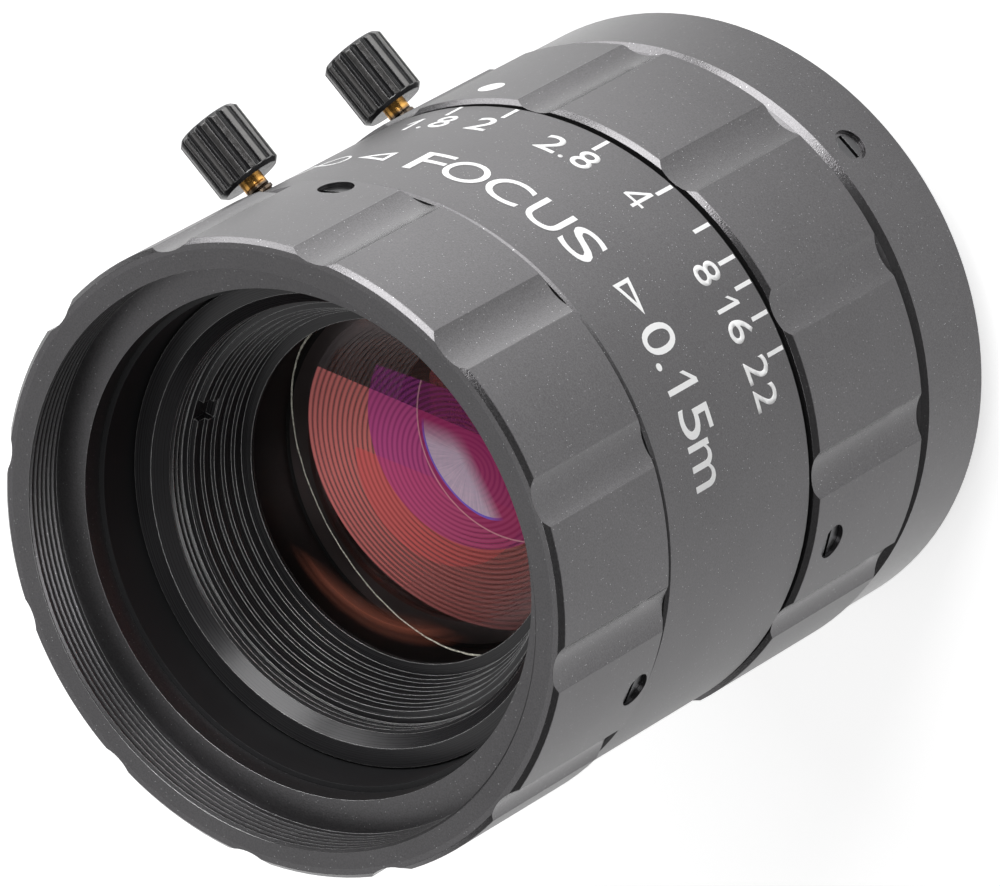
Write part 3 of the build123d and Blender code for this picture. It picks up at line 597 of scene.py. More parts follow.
def pupil_light(tree, place, under, cap):
    """Painted pale light in the pupil: a crescent with fine streaks across it, a blue outer edge and a soft
    inner one.
    """
    pupil, spot = seen_disc(tree, place, SEEN["pupil"])
    x, y, _ = split_xyz(tree, spot)
    turn = math_node(tree, "ARCTAN2", y, x)
    streak = add(tree, "ShaderNodeTexNoise", noise_dimensions="2D")
    streak_place = join_xy(tree, both(tree, turn, 26.0), both(tree, pupil, 2.0))
    feed(tree, streak, Vector=streak_place, Scale=1.0, Detail=3.0)
    pale = mix_colour(tree, streak.outputs["Fac"], (0.5, 0.5, 0.66, 1.0), (1.0, 0.88, 1.0, 1.0))
    outer = math_node(tree, "GREATER_THAN", pupil, 0.955)
    pale = mix_colour(tree, outer, pale, (0.16, 0.18, 0.9, 1.0))
    inner = past_line(tree, place, (0.0665, 0.7722, 0.6319), 0.0193, 0.0009)
    lower = past_line(tree, place, SALMON_EDGE[0], 0.0148, 0.0014)
    share = both(tree, both(tree, inside(tree, pupil), inner), both(tree, cap, lower))
    return painted_veil(tree, under, both(tree, share, 0.72), pale)


def painted_brown_reflection(tree, place, under, cap):
    """Painted brown reflection of the retaining ring in the edge of the glass, in streaks."""
    out = off_axis(tree, place)
    gap = math_node(tree, "ABSOLUTE", math_node(tree, "SUBTRACT", out, 0.0097))
    band = ramp(tree, gap, -1.0 / 0.0013, 1.0)
    lines = line_noise(tree, out, 2200.0, 1.0)
    reach = past_line(tree, place, (-0.643, 0.766, 0.0), 0.0083, 0.0016)
    share = both(tree, both(tree, band, reach), both(tree, cap, lines))
    return painted_veil(tree, under, share, (0.36, 0.11, 0.07, 1.0))


def rim_glint(tree, place, under):
    """Uneven bright line that the rim of the lens behind throws on the front glass."""
    cap = past_height(tree, place, RIM_CAP)
    rim, spot = seen_disc(tree, place, SEEN["rim"])
    uneven = math_node(tree, "MULTIPLY_ADD", noise(tree, place, 900.0, 2.0), 0.012, rim)
    low = past_line(tree, spot, (-1.0, 0.0, 0.0), 0.008, 0.009)
    grain = math_node(tree, "MULTIPLY_ADD", noise(tree, place, 5000.0, 2.0), 1.6, -0.1)
    shine = both(tree, grain, math_node(tree, "MULTIPLY_ADD", low, 0.5, 0.6))
    shine.node.use_clamp = True
    drawn = both(tree, thin_line(tree, math_node(tree, "SUBTRACT", uneven, 0.006), 0.0056), cap)
    return painted_veil(tree, under, both(tree, drawn, shine), (1.0, 0.98, 0.84, 1.0))


# Mesh helpers

SMOOTH_ANGLE = math.radians(28)
MERGE_DISTANCE = 0.0002 * MM
SIGN_MERGE_DISTANCE = 0.000001

# A thread's groove is cut by a bar with three corners: its height is 1.5 times the radius of its corners,
# and a quarter of the groove's depth stands past the crests
BAR_CORNERS = 3
BAR_HEIGHT = 1.5
BAR_PAST_CRESTS = 0.25


def scene_object(name, data):
    """New object in the scene."""
    obj = bpy.data.objects.new(name, data)
    bpy.context.scene.collection.objects.link(obj)
    return obj


def put_piece(name, mesh, material, body, replaces=()):
    """Finished piece that rides on a body and may take the place of CAD nodes."""
    obj = scene_object(name, mesh)
    mesh.materials.clear()
    mesh.materials.append(material)
    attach(obj, body)
    if replaces:
        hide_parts(*replaces)


def finished_mesh(obj, name):
    """The object's mesh with its modifiers done. The object itself is removed."""
    bpy.context.view_layer.update()
    graph = bpy.context.evaluated_depsgraph_get()
    mesh = bpy.data.meshes.new_from_object(obj.evaluated_get(graph))
    mesh.name = name
    old = obj.data
    bpy.data.objects.remove(obj)
    if old.users == 0:
        bpy.data.batch_remove([old])
    return mesh


def set_input(modifier, name, value):
    """Sets an input of a node modifier by the name that it has in the tree."""
    for item in modifier.node_group.interface.items_tree:
        if item.item_type == "SOCKET" and item.in_out == "INPUT" and item.name == name:
            modifier[item.identifier] = value
            return
    raise RuntimeError(f"the node tree has no input named {name}")


def thread_tree():
    """Node tree of a V thread's ridge: a three-sided bar that winds round the axis."""
    tree = bpy.data.node_groups.get("thread_ridge")
    if tree:
        return tree
    tree = bpy.data.node_groups.new("thread_ridge", "GeometryNodeTree")
    face = tree.interface
    for name, default in (("Radius", 0.01), ("Height", 0.002), ("Turns", 4.0), ("Bar size", 0.0003)):
        face.new_socket(name=name, in_out="INPUT", socket_type="NodeSocketFloat").default_value = default
    face.new_socket(name="Bar turn", in_out="INPUT", socket_type="NodeSocketFloat").default_value = 0.0
    face.new_socket(name="Steps a turn", in_out="INPUT", socket_type="NodeSocketInt").default_value = 96
    face.new_socket(name="Material", in_out="INPUT", socket_type="NodeSocketMaterial")
    face.new_socket(name="Geometry", in_out="OUTPUT", socket_type="NodeSocketGeometry")
    source = add(tree, "NodeGroupInput")
    line = add(tree, "GeometryNodeCurveSpiral")
    upright = add(tree, "GeometryNodeSetCurveNormal", mode="Z_UP")
    bar = add(tree, "GeometryNodeCurvePrimitiveCircle")
    turn = add(tree, "GeometryNodeTransform")
    spin = add(tree, "ShaderNodeCombineXYZ")
    sweep = add(tree, "GeometryNodeCurveToMesh")
    real = add(tree, "GeometryNodeRealizeInstances")
    paint = add(tree, "GeometryNodeSetMaterial")
    out = add(tree, "NodeGroupOutput")
    bar.inputs["Resolution"].default_value = BAR_CORNERS
    line.inputs["Reverse"].default_value = True
    sweep.inputs["Fill Caps"].default_value = True
    for a, b in (
        (source.outputs["Radius"], line.inputs["Start Radius"]),
        (source.outputs["Radius"], line.inputs["End Radius"]),
        (source.outputs["Height"], line.inputs["Height"]),
        (source.outputs["Turns"], line.inputs["Rotations"]),
        (source.outputs["Steps a turn"], line.inputs["Resolution"]),
        (source.outputs["Bar size"], bar.inputs["Radius"]),
        (source.outputs["Bar turn"], spin.inputs["Z"]),
        (spin.outputs[0], turn.inputs["Rotation"]),
        (bar.outputs[0], turn.inputs[0]),
        (line.outputs[0], upright.inputs[0]),
        (upright.outputs[0], sweep.inputs["Curve"]),
        (turn.outputs[0], sweep.inputs["Profile Curve"]),
        (sweep.outputs[0], real.inputs[0]),
        (real.outputs[0], paint.inputs[0]),
        (source.outputs["Material"], paint.inputs["Material"]),
        (paint.outputs[0], out.inputs[0]),
    ):
        tree.links.new(a, b)
    return tree


def thread_ridge(crest, depth, start, length, pitch, material, steps=128, outward=True):
    """Solid of a thread's grooves. crest is the radius of the crests, and outward grooves are a nut's."""
    bar = (1 + BAR_PAST_CRESTS) * depth / BAR_HEIGHT
    centre = crest + (depth - bar) * (1 if outward else -1)
    obj = scene_object("ridge", bpy.data.meshes.new("ridge"))
    modifier = obj.modifiers.new("thread", "NODES")
    modifier.node_group = thread_tree()
    set_input(modifier, "Radius", centre)
    set_input(modifier, "Height", length)
    set_input(modifier, "Turns", length / pitch)
    set_input(modifier, "Bar size", bar)
    set_input(modifier, "Bar turn", 0.0 if outward else math.pi)
    set_input(modifier, "Steps a turn", steps)
    set_input(modifier, "Material", material)
    mesh = finished_mesh(obj, "ridge")
    mesh.transform(Matrix.Translation((0, 0, start)))
    return mesh


def merged_copy(node):
    """Copy of a CAD node's mesh with its loose triangles joined."""
    mesh = NODES[node].data.copy()
    work = bmesh.new()
    work.from_mesh(mesh)
    bmesh.ops.remove_doubles(work, verts=work.verts, dist=MERGE_DISTANCE)
    work.to_mesh(mesh)
    work.free()
    for name in ("custom_normal", "sharp_edge", "sharp_face"):
        if name in mesh.attributes:
            mesh.attributes.remove(mesh.attributes[name])
    return mesh


def carve(mesh, cutter, name):
    """The mesh with the cutter taken out of it."""
    body = scene_object("carve", mesh)
    tool = scene_object("cutter", cutter)
    modifier = body.modifiers.new("cut", "BOOLEAN")
    modifier.object = tool
    modifier.operation = "DIFFERENCE"
    modifier.solver = "EXACT"
    result = finished_mesh(body, name)
    bpy.data.objects.remove(tool)
    bpy.data.meshes.remove(cutter)
    result.shade_smooth()
    result.set_sharp_from_angle(angle=SMOOTH_ANGLE)
    return result


def facing_out(azimuth, distance, height):
    """Matrix that turns +Z to point away from the lens axis at an azimuth."""
    turn = Matrix.Rotation(azimuth, 4, "Z") @ Matrix.Rotation(math.pi / 2, 4, "Y")
    x, y = distance * math.cos(azimuth), distance * math.sin(azimuth)
    return Matrix.Translation((x, y, height)) @ turn


# Dial markings

# Signs with an outline of their own, each a list of loops
OUTLINES = {
    "1": [[(0.64, 0.0), (1.0, 0.0), (1.0, 3.0), (0.7, 3.0), (0.0, 2.1), (0.0, 1.72), (0.64, 2.5)]],
    "4": [
        [
            (1.2, 0.0), (1.52, 0.0), (1.52, 0.66), (2.0, 0.66), (2.0, 0.94), (1.52, 0.94),
            (1.52, 3.0), (1.2, 3.0), (0.0, 0.98), (0.0, 0.66), (1.2, 0.66),
        ],
        [(0.36, 0.94), (1.2, 0.94), (1.2, 2.42)],
    ],
}

# The rows of signs, each with the turns in degrees where it starts and ends
FOCUS_ROW = [
    ("F", 31.6, 37.6), ("O", 38.0, 46.2), ("C", 47.0, 54.7), ("U", 56.2, 63.2), ("S", 64.3, 71.2),
    ("0", 86.0, 91.6), (".", 92.4, 93.9), ("1", 95.6, 98.6), ("5", 101.5, 107.2), ("m", 107.9, 116.2),
]
STOP_ROW = [
    ("1", 14.8, 16.9), (".", 19.1, 20.0), ("8", 21.0, 25.0), ("2", 29.4, 33.6), ("2", 43.9, 48.1),
    (".", 49.1, 50.0), ("8", 51.0, 55.0), ("4", 62.8, 67.2), ("8", 80.9, 85.1), ("1", 88.2, 90.4),
    ("6", 92.4, 96.6), ("2", 99.8, 104.0), ("2", 104.9, 109.1),
]
TICKS = (20.85, 32.8, 51.85, 66.2, 75.6, 82.7, 87.9, 93.9, 100.7)

# Distances of the rows' lines from the flange; the signs' feet are the farther ones
FOCUS_BASE, FOCUS_TOP, FOCUS_X_TOP, FOCUS_DOT_TOP = 35.64 * MM, 32.23 * MM, 33.2 * MM, 35.09 * MM
STOP_BASE, STOP_TOP, STOP_DOT_TOP = 27.06 * MM, 24.53 * MM, 26.7 * MM

# The two triangles: turn and side they point to, place on the band, and lengths in degrees of turn
TRIANGLES = ((23.0, 1), (80.0, -1))
TRIANGLE_Z = 33.8 * MM
TRIANGLE_TIP, TRIANGLE_BASE, TRIANGLE_HALF = 2.9, 2.7, 0.73 * MM

# The infinity sign: turn of its middle, half its length in degrees, and place and half height on the band
INFINITY_TURN, INFINITY_HALF = 9.6, 7.0
INFINITY_Z, INFINITY_RISE = 33.7 * MM, 0.85 * MM
INFINITY_STEPS = 48

# Length of a degree on the band, width of the strips that a sign is bent in, how much bolder the smaller
# row is, how far a line's sharp corner may reach and how thin the infinity sign's line is
DEGREE = BAND_RADIUS * math.pi / 180
STRIP_DEGREES = 1.2
STOP_WEIGHT = 0.004
MITRE_LIMIT = 0.35
INFINITY_LINE = 0.6


def glyph_mesh(text, weight):
    """Flat mesh of a sign: its own outline if it has one, or else the built-in face made bolder."""
    if text in OUTLINES:
        curve = bpy.data.curves.new("glyph", "CURVE")
        curve.dimensions = "2D"
        curve.fill_mode = "BOTH"
        for loop in OUTLINES[text]:
            spline = curve.splines.new("POLY")
            spline.points.add(len(loop) - 1)
            for point, (x, y) in zip(spline.points, loop):
                point.co = (x, y, 0.0, 1.0)
            spline.use_cyclic_u = True
    else:
        curve = bpy.data.curves.new("glyph", "FONT")
        curve.body = text
        curve.size = 1.0
        curve.offset = weight
        curve.resolution_u = 6
    return finished_mesh(scene_object("glyph", curve), "glyph")


def stroke_faces(work, points, width):
    """Band of even width along flat points, from the last one back to the first."""
    count = len(points)
    rails = []
    for i, point in enumerate(points):
        one = (point - points[i - 1]).normalized()
        two = (points[(i + 1) % count] - point).normalized()
        lean = (one + two).normalized()
        side = Vector((-lean.y, lean.x))
        reach = width / 2 / max(MITRE_LIMIT, side.dot(Vector((-one.y, one.x))))
        rails.append((point + side * reach, point - side * reach))
    pairs = [(work.verts.new((a.x, a.y, 0)), work.verts.new((b.x, b.y, 0))) for a, b in rails]
    for i in range(count):
        (a, b), (c, d) = pairs[i], pairs[(i + 1) % count]
        work.faces.new((a, b, d, c))


def wrap_on_band(work, turn0, turn1, low, high, box):
    """Stretches a flat shape into a window of the band: turn0 to turn1 across, low to high up."""
    (x0, y0), (x1, y1) = box
    for vert in work.verts:
        across = (vert.co.x - x0) / (x1 - x0)
        up = (vert.co.y - y0) / (y1 - y0)
        vert.co = Vector((turn0 + (turn1 - turn0) * across, low + (high - low) * up, 0))


def slice_and_bend(work, radius, root, height):
    """Cuts a flat shape (turn in degrees, distance from the flange) into narrow strips and bends it."""
    turns = [v.co.x for v in work.verts]
    first = math.floor(min(turns) / STRIP_DEGREES) + 1
    last = math.ceil(max(turns) / STRIP_DEGREES)
    for i in range(first, last):
        geometry = work.verts[:] + work.edges[:] + work.faces[:]
        bmesh.ops.bisect_plane(work, geom=geometry, plane_co=(i * STRIP_DEGREES, 0, 0), plane_no=(1, 0, 0))
    result = bmesh.ops.extrude_face_region(work, geom=work.faces[:])
    raised = {v for v in result["geom"] if isinstance(v, bmesh.types.BMVert)}
    for vert in work.verts:
        r = radius + (height if vert in raised else -root)
        azimuth = -math.radians(vert.co.x)
        vert.co = Vector((r * math.cos(azimuth), r * math.sin(azimuth), vert.co.y))
    bmesh.ops.recalc_face_normals(work, faces=work.faces)


def flat_sign(text, weight):
    """Flat bmesh of a sign and its box."""
    work = bmesh.new()
    mesh = glyph_mesh(text, weight)
    work.from_mesh(mesh)
    bpy.data.meshes.remove(mesh)
    bmesh.ops.remove_doubles(work, verts=work.verts, dist=SIGN_MERGE_DISTANCE)
    xs = [v.co.x for v in work.verts]
    ys = [v.co.y for v in work.verts]
    return work, ((min(xs), min(ys)), (max(xs), max(ys)))


def add_sign(whole, work, dial):
    """Bends a flat shape round the band and adds it to the markings."""
    slice_and_bend(work, BAND_RADIUS, dial.ink_root, dial.ink_height)
    mesh = bpy.data.meshes.new("part")
    work.to_mesh(mesh)
    work.free()
    whole.from_mesh(mesh)
    bpy.data.meshes.remove(mesh)


def drawn_line(points, width, turn, height):
    """Flat closed line about a place on the band, with its length turned into degrees."""
    work = bmesh.new()
    stroke_faces(work, points, width)
    for vert in work.verts:
        vert.co = Vector((turn + vert.co.x / DEGREE, height + vert.co.y, 0))
    return work


def triangle(turn, side, width):
    """Open triangle that points along the row."""
    tip, base = -TRIANGLE_TIP * side * DEGREE, TRIANGLE_BASE * side * DEGREE
    points = [Vector((tip, 0.0)), Vector((base, TRIANGLE_HALF)), Vector((base, -TRIANGLE_HALF))]
    return drawn_line(points, width, turn, TRIANGLE_Z)


def infinity(width):
    """Infinity sign drawn as a looped line."""
    points = []
    for i in range(INFINITY_STEPS):
        a = 2 * math.pi * i / INFINITY_STEPS
        points.append(Vector((INFINITY_HALF * DEGREE * math.cos(a), INFINITY_RISE * math.sin(2 * a))))
    return drawn_line(points, width, INFINITY_TURN, INFINITY_Z)


def tick_tree():
    """Node tree of the aperture ticks: a bar at each point, turned by the point's azimuth."""
    tree = bpy.data.node_groups.get("dial_ticks")
    if tree:
        return tree
    tree = bpy.data.node_groups.new("dial_ticks", "GeometryNodeTree")
    face = tree.interface
    face.new_socket(name="Geometry", in_out="INPUT", socket_type="NodeSocketGeometry")
    face.new_socket(name="Bar", in_out="INPUT", socket_type="NodeSocketVector")
    face.new_socket(name="Material", in_out="INPUT", socket_type="NodeSocketMaterial")
    face.new_socket(name="Geometry", in_out="OUTPUT", socket_type="NodeSocketGeometry")
    source = add(tree, "NodeGroupInput")
    bar = add(tree, "GeometryNodeMeshCube")
    feed(tree, bar, Size=source.outputs["Bar"], Vertices_X=2, Vertices_Y=4, Vertices_Z=2)
    x, y, _ = split_xyz(tree, add(tree, "GeometryNodeInputPosition").outputs[0])
    spin = feed(tree, add(tree, "ShaderNodeCombineXYZ"), Z=math_node(tree, "ARCTAN2", y, x))
    each = add(tree, "GeometryNodeInstanceOnPoints")
    feed(tree, each, Points=source.outputs["Geometry"], Instance=bar.outputs["Mesh"])
    feed(tree, each, Rotation=spin.outputs[0])
    real = feed(tree, add(tree, "GeometryNodeRealizeInstances"), Geometry=each.outputs[0])
    paint = add(tree, "GeometryNodeSetMaterial")
    feed(tree, paint, Geometry=real.outputs[0], Material=source.outputs["Material"])
    feed(tree, add(tree, "NodeGroupOutput"), Geometry=paint.outputs[0])
    return tree


# Stage

FLOOR_GREY = 0.62
GLOW_SIDE = (0.883, -0.469, 0.0)
GLOW_CLEAR = 0.024
CAMERA_PLACE = (-0.00040, -0.53026, 0.67478)
CAMERA_RIGHT = (-0.49159, -0.67394, -0.55149)
CAMERA_UP = (0.87083, -0.38045, -0.31132)
CAMERA_BACK = (0.0, -0.63329, 0.77391)


def floor_glow(tree):
    """Strength of the floor's own light: even to the camera, and brighter on one side in reflections."""
    path = add(tree, "ShaderNodeLightPath").outputs
    place = place_input(tree)
    side = vector_node(tree, "NORMALIZE", place)["Vector"]
    toward = vector_node(tree, "DOT_PRODUCT", side, GLOW_SIDE)["Value"]
    lit = math_node(tree, "POWER", math_node(tree, "MAXIMUM", toward, 0.0), 3.0)
    behind = math_node(tree, "MAXIMUM", both(tree, toward, -0.16), 0.0)
    clear = ramp(tree, off_axis(tree, place), 1.0 / GLOW_CLEAR, -1.0)
    mirrored = both(tree, both(tree, lit, clear), 0.9)
    mirrored = math_node(tree, "ADD", mirrored, math_node(tree, "ADD", behind, 0.35))
    more = math_node(tree, "SUBTRACT", mirrored, FLOOR_GREY)
    level = math_node(tree, "MULTIPLY_ADD", path["Is Glossy Ray"], more, FLOOR_GREY)
    seen = math_node(tree, "MAXIMUM", path["Is Camera Ray"], path["Is Glossy Ray"])
    return both(tree, seen, level)


def floor(stage):
    """Pale floor under the mount."""
    half = stage.floor_size / 2
    mesh = bpy.data.meshes.new("floor")
    outline = [(-half, -half), (half, -half), (half, half), (-half, half)]
    mesh.from_pydata([(x, y, MOUNT_END) for x, y in outline], [], [(0, 1, 2, 3)])
    material, tree = new_material("studio_floor")
    diffuse = feed(tree, add(tree, "ShaderNodeBsdfDiffuse"), Color=(0.8, 0.8, 0.8, 1.0))
    glow = feed(tree, add(tree, "ShaderNodeEmission"), Color=rgba(WHITE), Strength=floor_glow(tree))
    total = add(tree, "ShaderNodeAddShader")
    tree.links.new(diffuse.outputs[0], total.inputs[0])
    tree.links.new(glow.outputs[0], total.inputs[1])
    surface(tree, total.outputs[0])
    mesh.materials.append(material)
    scene_object("studio_floor", mesh)


def backdrop():
    """White world for the camera, and a dim one for everything else."""
    world = bpy.context.scene.world or bpy.data.worlds.new("studio")
    bpy.context.scene.world = world
    world.use_nodes = True
    tree = world.node_tree
    tree.nodes.clear()
    path = add(tree, "ShaderNodeLightPath").outputs
    strength = math_node(tree, "MULTIPLY_ADD", path["Is Camera Ray"], 0.85, 0.15)
    background = feed(tree, add(tree, "ShaderNodeBackground"), Color=rgba(WHITE), Strength=strength)
    out = add(tree, "ShaderNodeOutputWorld")
    tree.links.new(background.outputs[0], out.inputs["Surface"])


def softbox(name, watts, place, target_height, side):
    """Square soft lamp that faces a point of the lens's axis."""
    light = bpy.data.lights.new(name, "AREA")
    light.shape = "SQUARE"
    light.size = side
    light.energy = watts
    lamp = scene_object(name, light)
    aim = (Vector((0, 0, target_height)) - Vector(place)).to_track_quat("-Z", "Y")
    lamp.matrix_world = Matrix.Translation(place) @ aim.to_matrix().to_4x4()


def softboxes(stage):
    """Two lamps beside the lens and two above it."""
    softbox("key_softbox", stage.key_watts, (0.5, -0.42, 0.36), 0.02, 0.5)
    softbox("side_softbox", stage.side_watts, (0.7, 0.05, 0.2), 0.02, 0.4)
    softbox("far_softbox", stage.far_watts, (0.0, 0.6, 0.75), 0.02, 0.7)
    softbox("near_softbox", stage.near_watts, (-0.26, -0.32, 0.92), 0.04, 0.4)


def camera(stage):
    """Camera at the photograph's place and angle."""
    data = bpy.data.cameras.new("camera")
    data.lens = stage.lens_mm
    data.sensor_width = 36.0
    data.clip_start = 0.05
    data.clip_end = 20.0
    shot = scene_object("camera", data)
    turn = Matrix((CAMERA_RIGHT, CAMERA_UP, CAMERA_BACK)).transposed().to_4x4()
    shot.matrix_world = Matrix.Translation(CAMERA_PLACE) @ turn
    bpy.context.scene.camera = shot


# Operators

# Finishes of the CAD nodes; the iris blades have blade_steel
FINISHED_NODES = {
    "blasted_band": ("main_barrel",),
    "blasted_black": ("iris_ring", "mount_housing", "focus_ring"),
    "matt_inner": (
        "focus_retaining_ring", "focus_sleeve", "iris_base_plate", "rear_spacer_back", "iris_drive_ring",
    ),
    "satin_cell": ("front_retaining_ring", "rear_cell", "rear_retaining_ring", "lens_cell"),
    "baffle_black": ("baffle_spacer",),
    "satin_aluminium": ("rear_spacer_front",),
    "black_steel": (
        "focus_guide_pin", "focus_set_screws", "iris_drive_pin", "iris_set_screws", "mount_set_screws",
    ),
    "turned_brass": ("iris_rotor",),
    "screw_brass": ("focus_lock_screw", "iris_lock_screw"),
    "focus_knob_black": ("focus_lock_knob",),
    "iris_knob_black": ("iris_lock_knob",),
    "dial_ink": ("iris_index_dot",),
    "front_glass": ("front_element",),
    "second_glass": ("second_element",),
    "deep_glass": ("third_element", "fourth_element", "fifth_element", "sixth_element"),
}


class LENS_OT_stage(bpy.types.Operator):
    """Floor, world, softboxes and camera"""

    bl_idname = "lens.stage"
    bl_label = "Set the stage"

    def execute(self, context):
        stage = context.scene.lens_stage
        floor(stage)
        backdrop()
        softboxes(stage)
        camera(stage)
        return {"FINISHED"}


class LENS_OT_finishes(bpy.types.Operator):
    """Finishes of all pieces"""

    bl_idname = "lens.finishes"
    bl_label = "Finish the pieces"

    def execute(self, context):
        finish = context.scene.lens_finish
        rough = finish.anodise_rough
        blasted_anodise("blasted_black", finish.anodise, rough, fluted=True)
        blasted_anodise("blasted_band", [c * 0.96 for c in finish.anodise], rough + 0.03)
        turned_anodise("matt_inner", finish.inner, 0.5, 0.1)
        # Painted glints on the satin cell's edges
        turned_anodise("satin_cell", finish.satin, 0.28, 0.2, edge=0.00006, glint_grey=0.95)
        turned_anodise("baffle_black", (0.16, 0.14, 0.14), 0.34, 0.9, edge=0.00002)
        plain_metal("satin_aluminium", (0.62, 0.64, 0.68), 0.3)
        # Painted glints on the steel's edges
        plain_metal("black_steel", (0.12, 0.12, 0.124), 0.35, glint_grey=0.5)
        plain_metal("blade_steel", (0.10, 0.10, 0.11), 0.3)
        plain_metal("turned_brass", finish.brass, 0.24, scale=4000.0)
        plain_metal("screw_brass", finish.brass, 0.24, scale=4000.0, browned=BROWNED_ROOT)
        # The knobs get a painted highlight on their crests
        knurled_black("focus_knob_black", finish.knob, finish.knob_crest_sheen, 0.2, FOCUS_LOCK_Z)
        knurled_black("iris_knob_black", finish.knob, finish.knob_crest_sheen, 0.2, IRIS_LOCK_Z)
        dial_ink("dial_ink", finish.ink)
        coated_glass("front_glass", finish.outer_coat, 0.01, FRONT_GLASS, front_reflections, rim_glint)
        coated_glass("second_glass", finish.inner_coat, 0.03, INNER_GLASS)
        coated_glass("deep_glass", finish.deep_coat, 0.05, INNER_GLASS)
        finish_of = {node: name for name, nodes in FINISHED_NODES.items() for node in nodes}
        for node, obj in NODES.items():
            obj.data.materials.clear()
            obj.data.materials.append(bpy.data.materials[finish_of.get(node, "blade_steel")])
        return {"FINISHED"}


class LENS_OT_mount_thread(bpy.types.Operator):
    """Mount housing with its thread"""

    bl_idname = "lens.mount_thread"
    bl_label = "Cut the mount thread"

    def execute(self, context):
        threads = context.scene.lens_threads
        material = bpy.data.materials["blasted_black"]
        groove = thread_ridge(
            MOUNT_CREST, threads.mount_depth, -4.6 * MM, 4.2 * MM, threads.mount_pitch, material,
            outward=False,
        )
        mesh = carve(merged_copy("mount_housing"), groove, "mount_housing_threaded")
        put_piece("mount_housing_threaded", mesh, material, "barrel", ["mount_housing"])
        return {"FINISHED"}


class LENS_OT_front_threads(bpy.types.Operator):
    """Fine threads inside the lens cell's mouth and inside the focus ring's recess"""

    bl_idname = "lens.front_threads"
    bl_label = "Cut the front threads"

    def execute(self, context):
        threads = context.scene.lens_threads
        for node, body, finish, slot, crest, start, length in (
            ("lens_cell", "cell", "satin_cell", "anodised_cell", FILTER_CREST, 42.58 * MM, 1.35 * MM),
            ("focus_ring", "focus", "blasted_black", "anodised_ring", HOOD_CREST, 50.1 * MM, 3.2 * MM),
        ):
            material = bpy.data.materials[finish]
            groove = thread_ridge(crest, threads.fine_depth, start, length, threads.fine_pitch, material)
            mesh = carve(merged_copy(node), groove, node + "_threaded")
            put_piece(node + "_threaded", mesh, material, body, [node])
        return {"FINISHED"}


class LENS_OT_lock_screws(bpy.types.Operator):
    """Brass lock screws with their threads"""

    bl_idname = "lens.lock_screws"
    bl_label = "Cut the lock screws"

    def execute(self, context):
        threads = context.scene.lens_threads
        material = bpy.data.materials["screw_brass"]
        for node, body, height, tip, end in (
            ("focus_lock_screw", "focus_lock", FOCUS_LOCK_Z, 19.7 * MM, 23.0 * MM),
            ("iris_lock_screw", "iris_lock", IRIS_LOCK_Z, 18.65 * MM, 22.95 * MM),
        ):
            length = end - tip + 2 * LOCK_OVERRUN
            groove = thread_ridge(
                LOCK_CREST, threads.screw_depth, 0.0, length, threads.screw_pitch, material,
                steps=32, outward=False,
            )
            groove.transform(facing_out(LOCK_AZIMUTH, tip - LOCK_OVERRUN, height))
            mesh = carve(merged_copy(node), groove, node + "_threaded")
            put_piece(node + "_threaded", mesh, material, body, [node])
        return {"FINISHED"}


class LENS_OT_dial(bpy.types.Operator):
    """Numbers, words and signs on the scale band"""

    bl_idname = "lens.dial"
    bl_label = "Letter the dial"

    def execute(self, context):
        dial = context.scene.lens_dial
        whole = bmesh.new()
        focus_tops = {"m": FOCUS_X_TOP, ".": FOCUS_DOT_TOP}
        for text, turn0, turn1 in FOCUS_ROW:
            work, box = flat_sign(text, 0.0)
            wrap_on_band(work, turn0, turn1, FOCUS_BASE, focus_tops.get(text, FOCUS_TOP), box)
            add_sign(whole, work, dial)
        for text, turn0, turn1 in STOP_ROW:
            work, box = flat_sign(text, STOP_WEIGHT)
            wrap_on_band(work, turn0, turn1, STOP_BASE, STOP_DOT_TOP if text == "." else STOP_TOP, box)
            add_sign(whole, work, dial)
        for turn, side in TRIANGLES:
            add_sign(whole, triangle(turn, side, dial.line_width), dial)
        add_sign(whole, infinity(dial.line_width * INFINITY_LINE), dial)
        mesh = bpy.data.meshes.new("dial_markings")
        whole.to_mesh(mesh)
        whole.free()
        put_piece("dial_markings", mesh, bpy.data.materials["dial_ink"], "barrel")
        return {"FINISHED"}


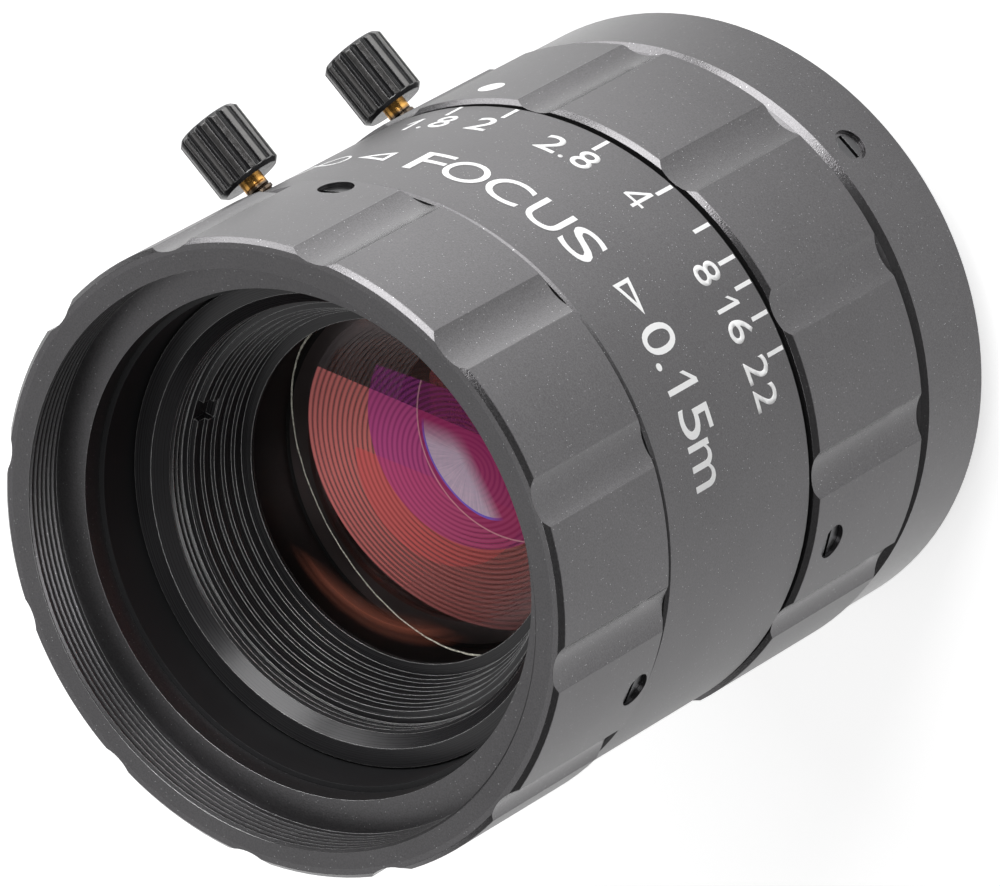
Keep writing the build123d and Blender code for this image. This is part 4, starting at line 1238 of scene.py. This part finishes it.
class LENS_OT_ticks(bpy.types.Operator):
    """Aperture ticks along the edge of the scale band"""

    bl_idname = "lens.ticks"
    bl_label = "Draw the ticks"

    def execute(self, context):
        dial = context.scene.lens_dial
        material = bpy.data.materials["dial_ink"]
        depth = dial.ink_root + dial.ink_height
        radius = BAND_RADIUS + dial.ink_height - depth / 2
        middle = (dial.tick_near + dial.tick_far) / 2
        places = []
        for turn in TICKS:
            azimuth = -math.radians(turn)
            places.append((radius * math.cos(azimuth), radius * math.sin(azimuth), middle))
        mesh = bpy.data.meshes.new("tick_places")
        mesh.from_pydata(places, [], [])
        obj = scene_object("tick_places", mesh)
        modifier = obj.modifiers.new("ticks", "NODES")
        modifier.node_group = tick_tree()
        set_input(modifier, "Bar", (depth, dial.tick_width, dial.tick_far - dial.tick_near))
        set_input(modifier, "Material", material)
        put_piece("dial_ticks", finished_mesh(obj, "dial_ticks"), material, "barrel")
        return {"FINISHED"}


class LENS_PT_panel(bpy.types.Panel):
    """Lists the lens's operators and settings"""

    bl_idname = "LENS_PT_panel"
    bl_label = "Machine vision lens"
    bl_space_type = "VIEW_3D"
    bl_region_type = "UI"
    bl_category = "Lens"

    def draw(self, context):
        """Draws a button for each operator and a box for each group of settings."""
        for operator in OPERATORS:
            self.layout.operator(operator.bl_idname)
        for name in GROUPS:
            group = getattr(context.scene, name)
            box = self.layout.box()
            for setting in group.__annotations__:
                box.prop(group, setting)


OPERATORS = (
    LENS_OT_stage,
    LENS_OT_finishes,
    LENS_OT_mount_thread,
    LENS_OT_front_threads,
    LENS_OT_lock_screws,
    LENS_OT_dial,
    LENS_OT_ticks,
)
GROUPS = {
    "lens_threads": LensThreads,
    "lens_dial": LensDial,
    "lens_finish": LensFinish,
    "lens_stage": LensStage,
}


def register():
    """Registers the settings, the operators and the panel."""
    for name, group in GROUPS.items():
        bpy.utils.register_class(group)
        setattr(bpy.types.Scene, name, PointerProperty(type=group))
    for cls in (*OPERATORS, LENS_PT_panel):
        bpy.utils.register_class(cls)


def unregister():
    """Takes them away again."""
    for cls in (LENS_PT_panel, *reversed(OPERATORS)):
        bpy.utils.unregister_class(cls)
    for name, group in GROUPS.items():
        delattr(bpy.types.Scene, name)
        bpy.utils.unregister_class(group)


def main():
    """Builds the looks."""
    bpy.context.scene.view_settings.view_transform = "Standard"
    for obj in [o for o in bpy.data.objects if o.name in ("Cube", "Light", "Camera")]:
        bpy.data.objects.remove(obj)
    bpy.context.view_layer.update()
    register()
    bpy.ops.lens.stage()
    bpy.ops.lens.finishes()
    bpy.ops.lens.mount_thread()
    bpy.ops.lens.front_threads()
    bpy.ops.lens.lock_screws()
    bpy.ops.lens.dial()
    bpy.ops.lens.ticks()


if __name__ == "__main__":
    main()
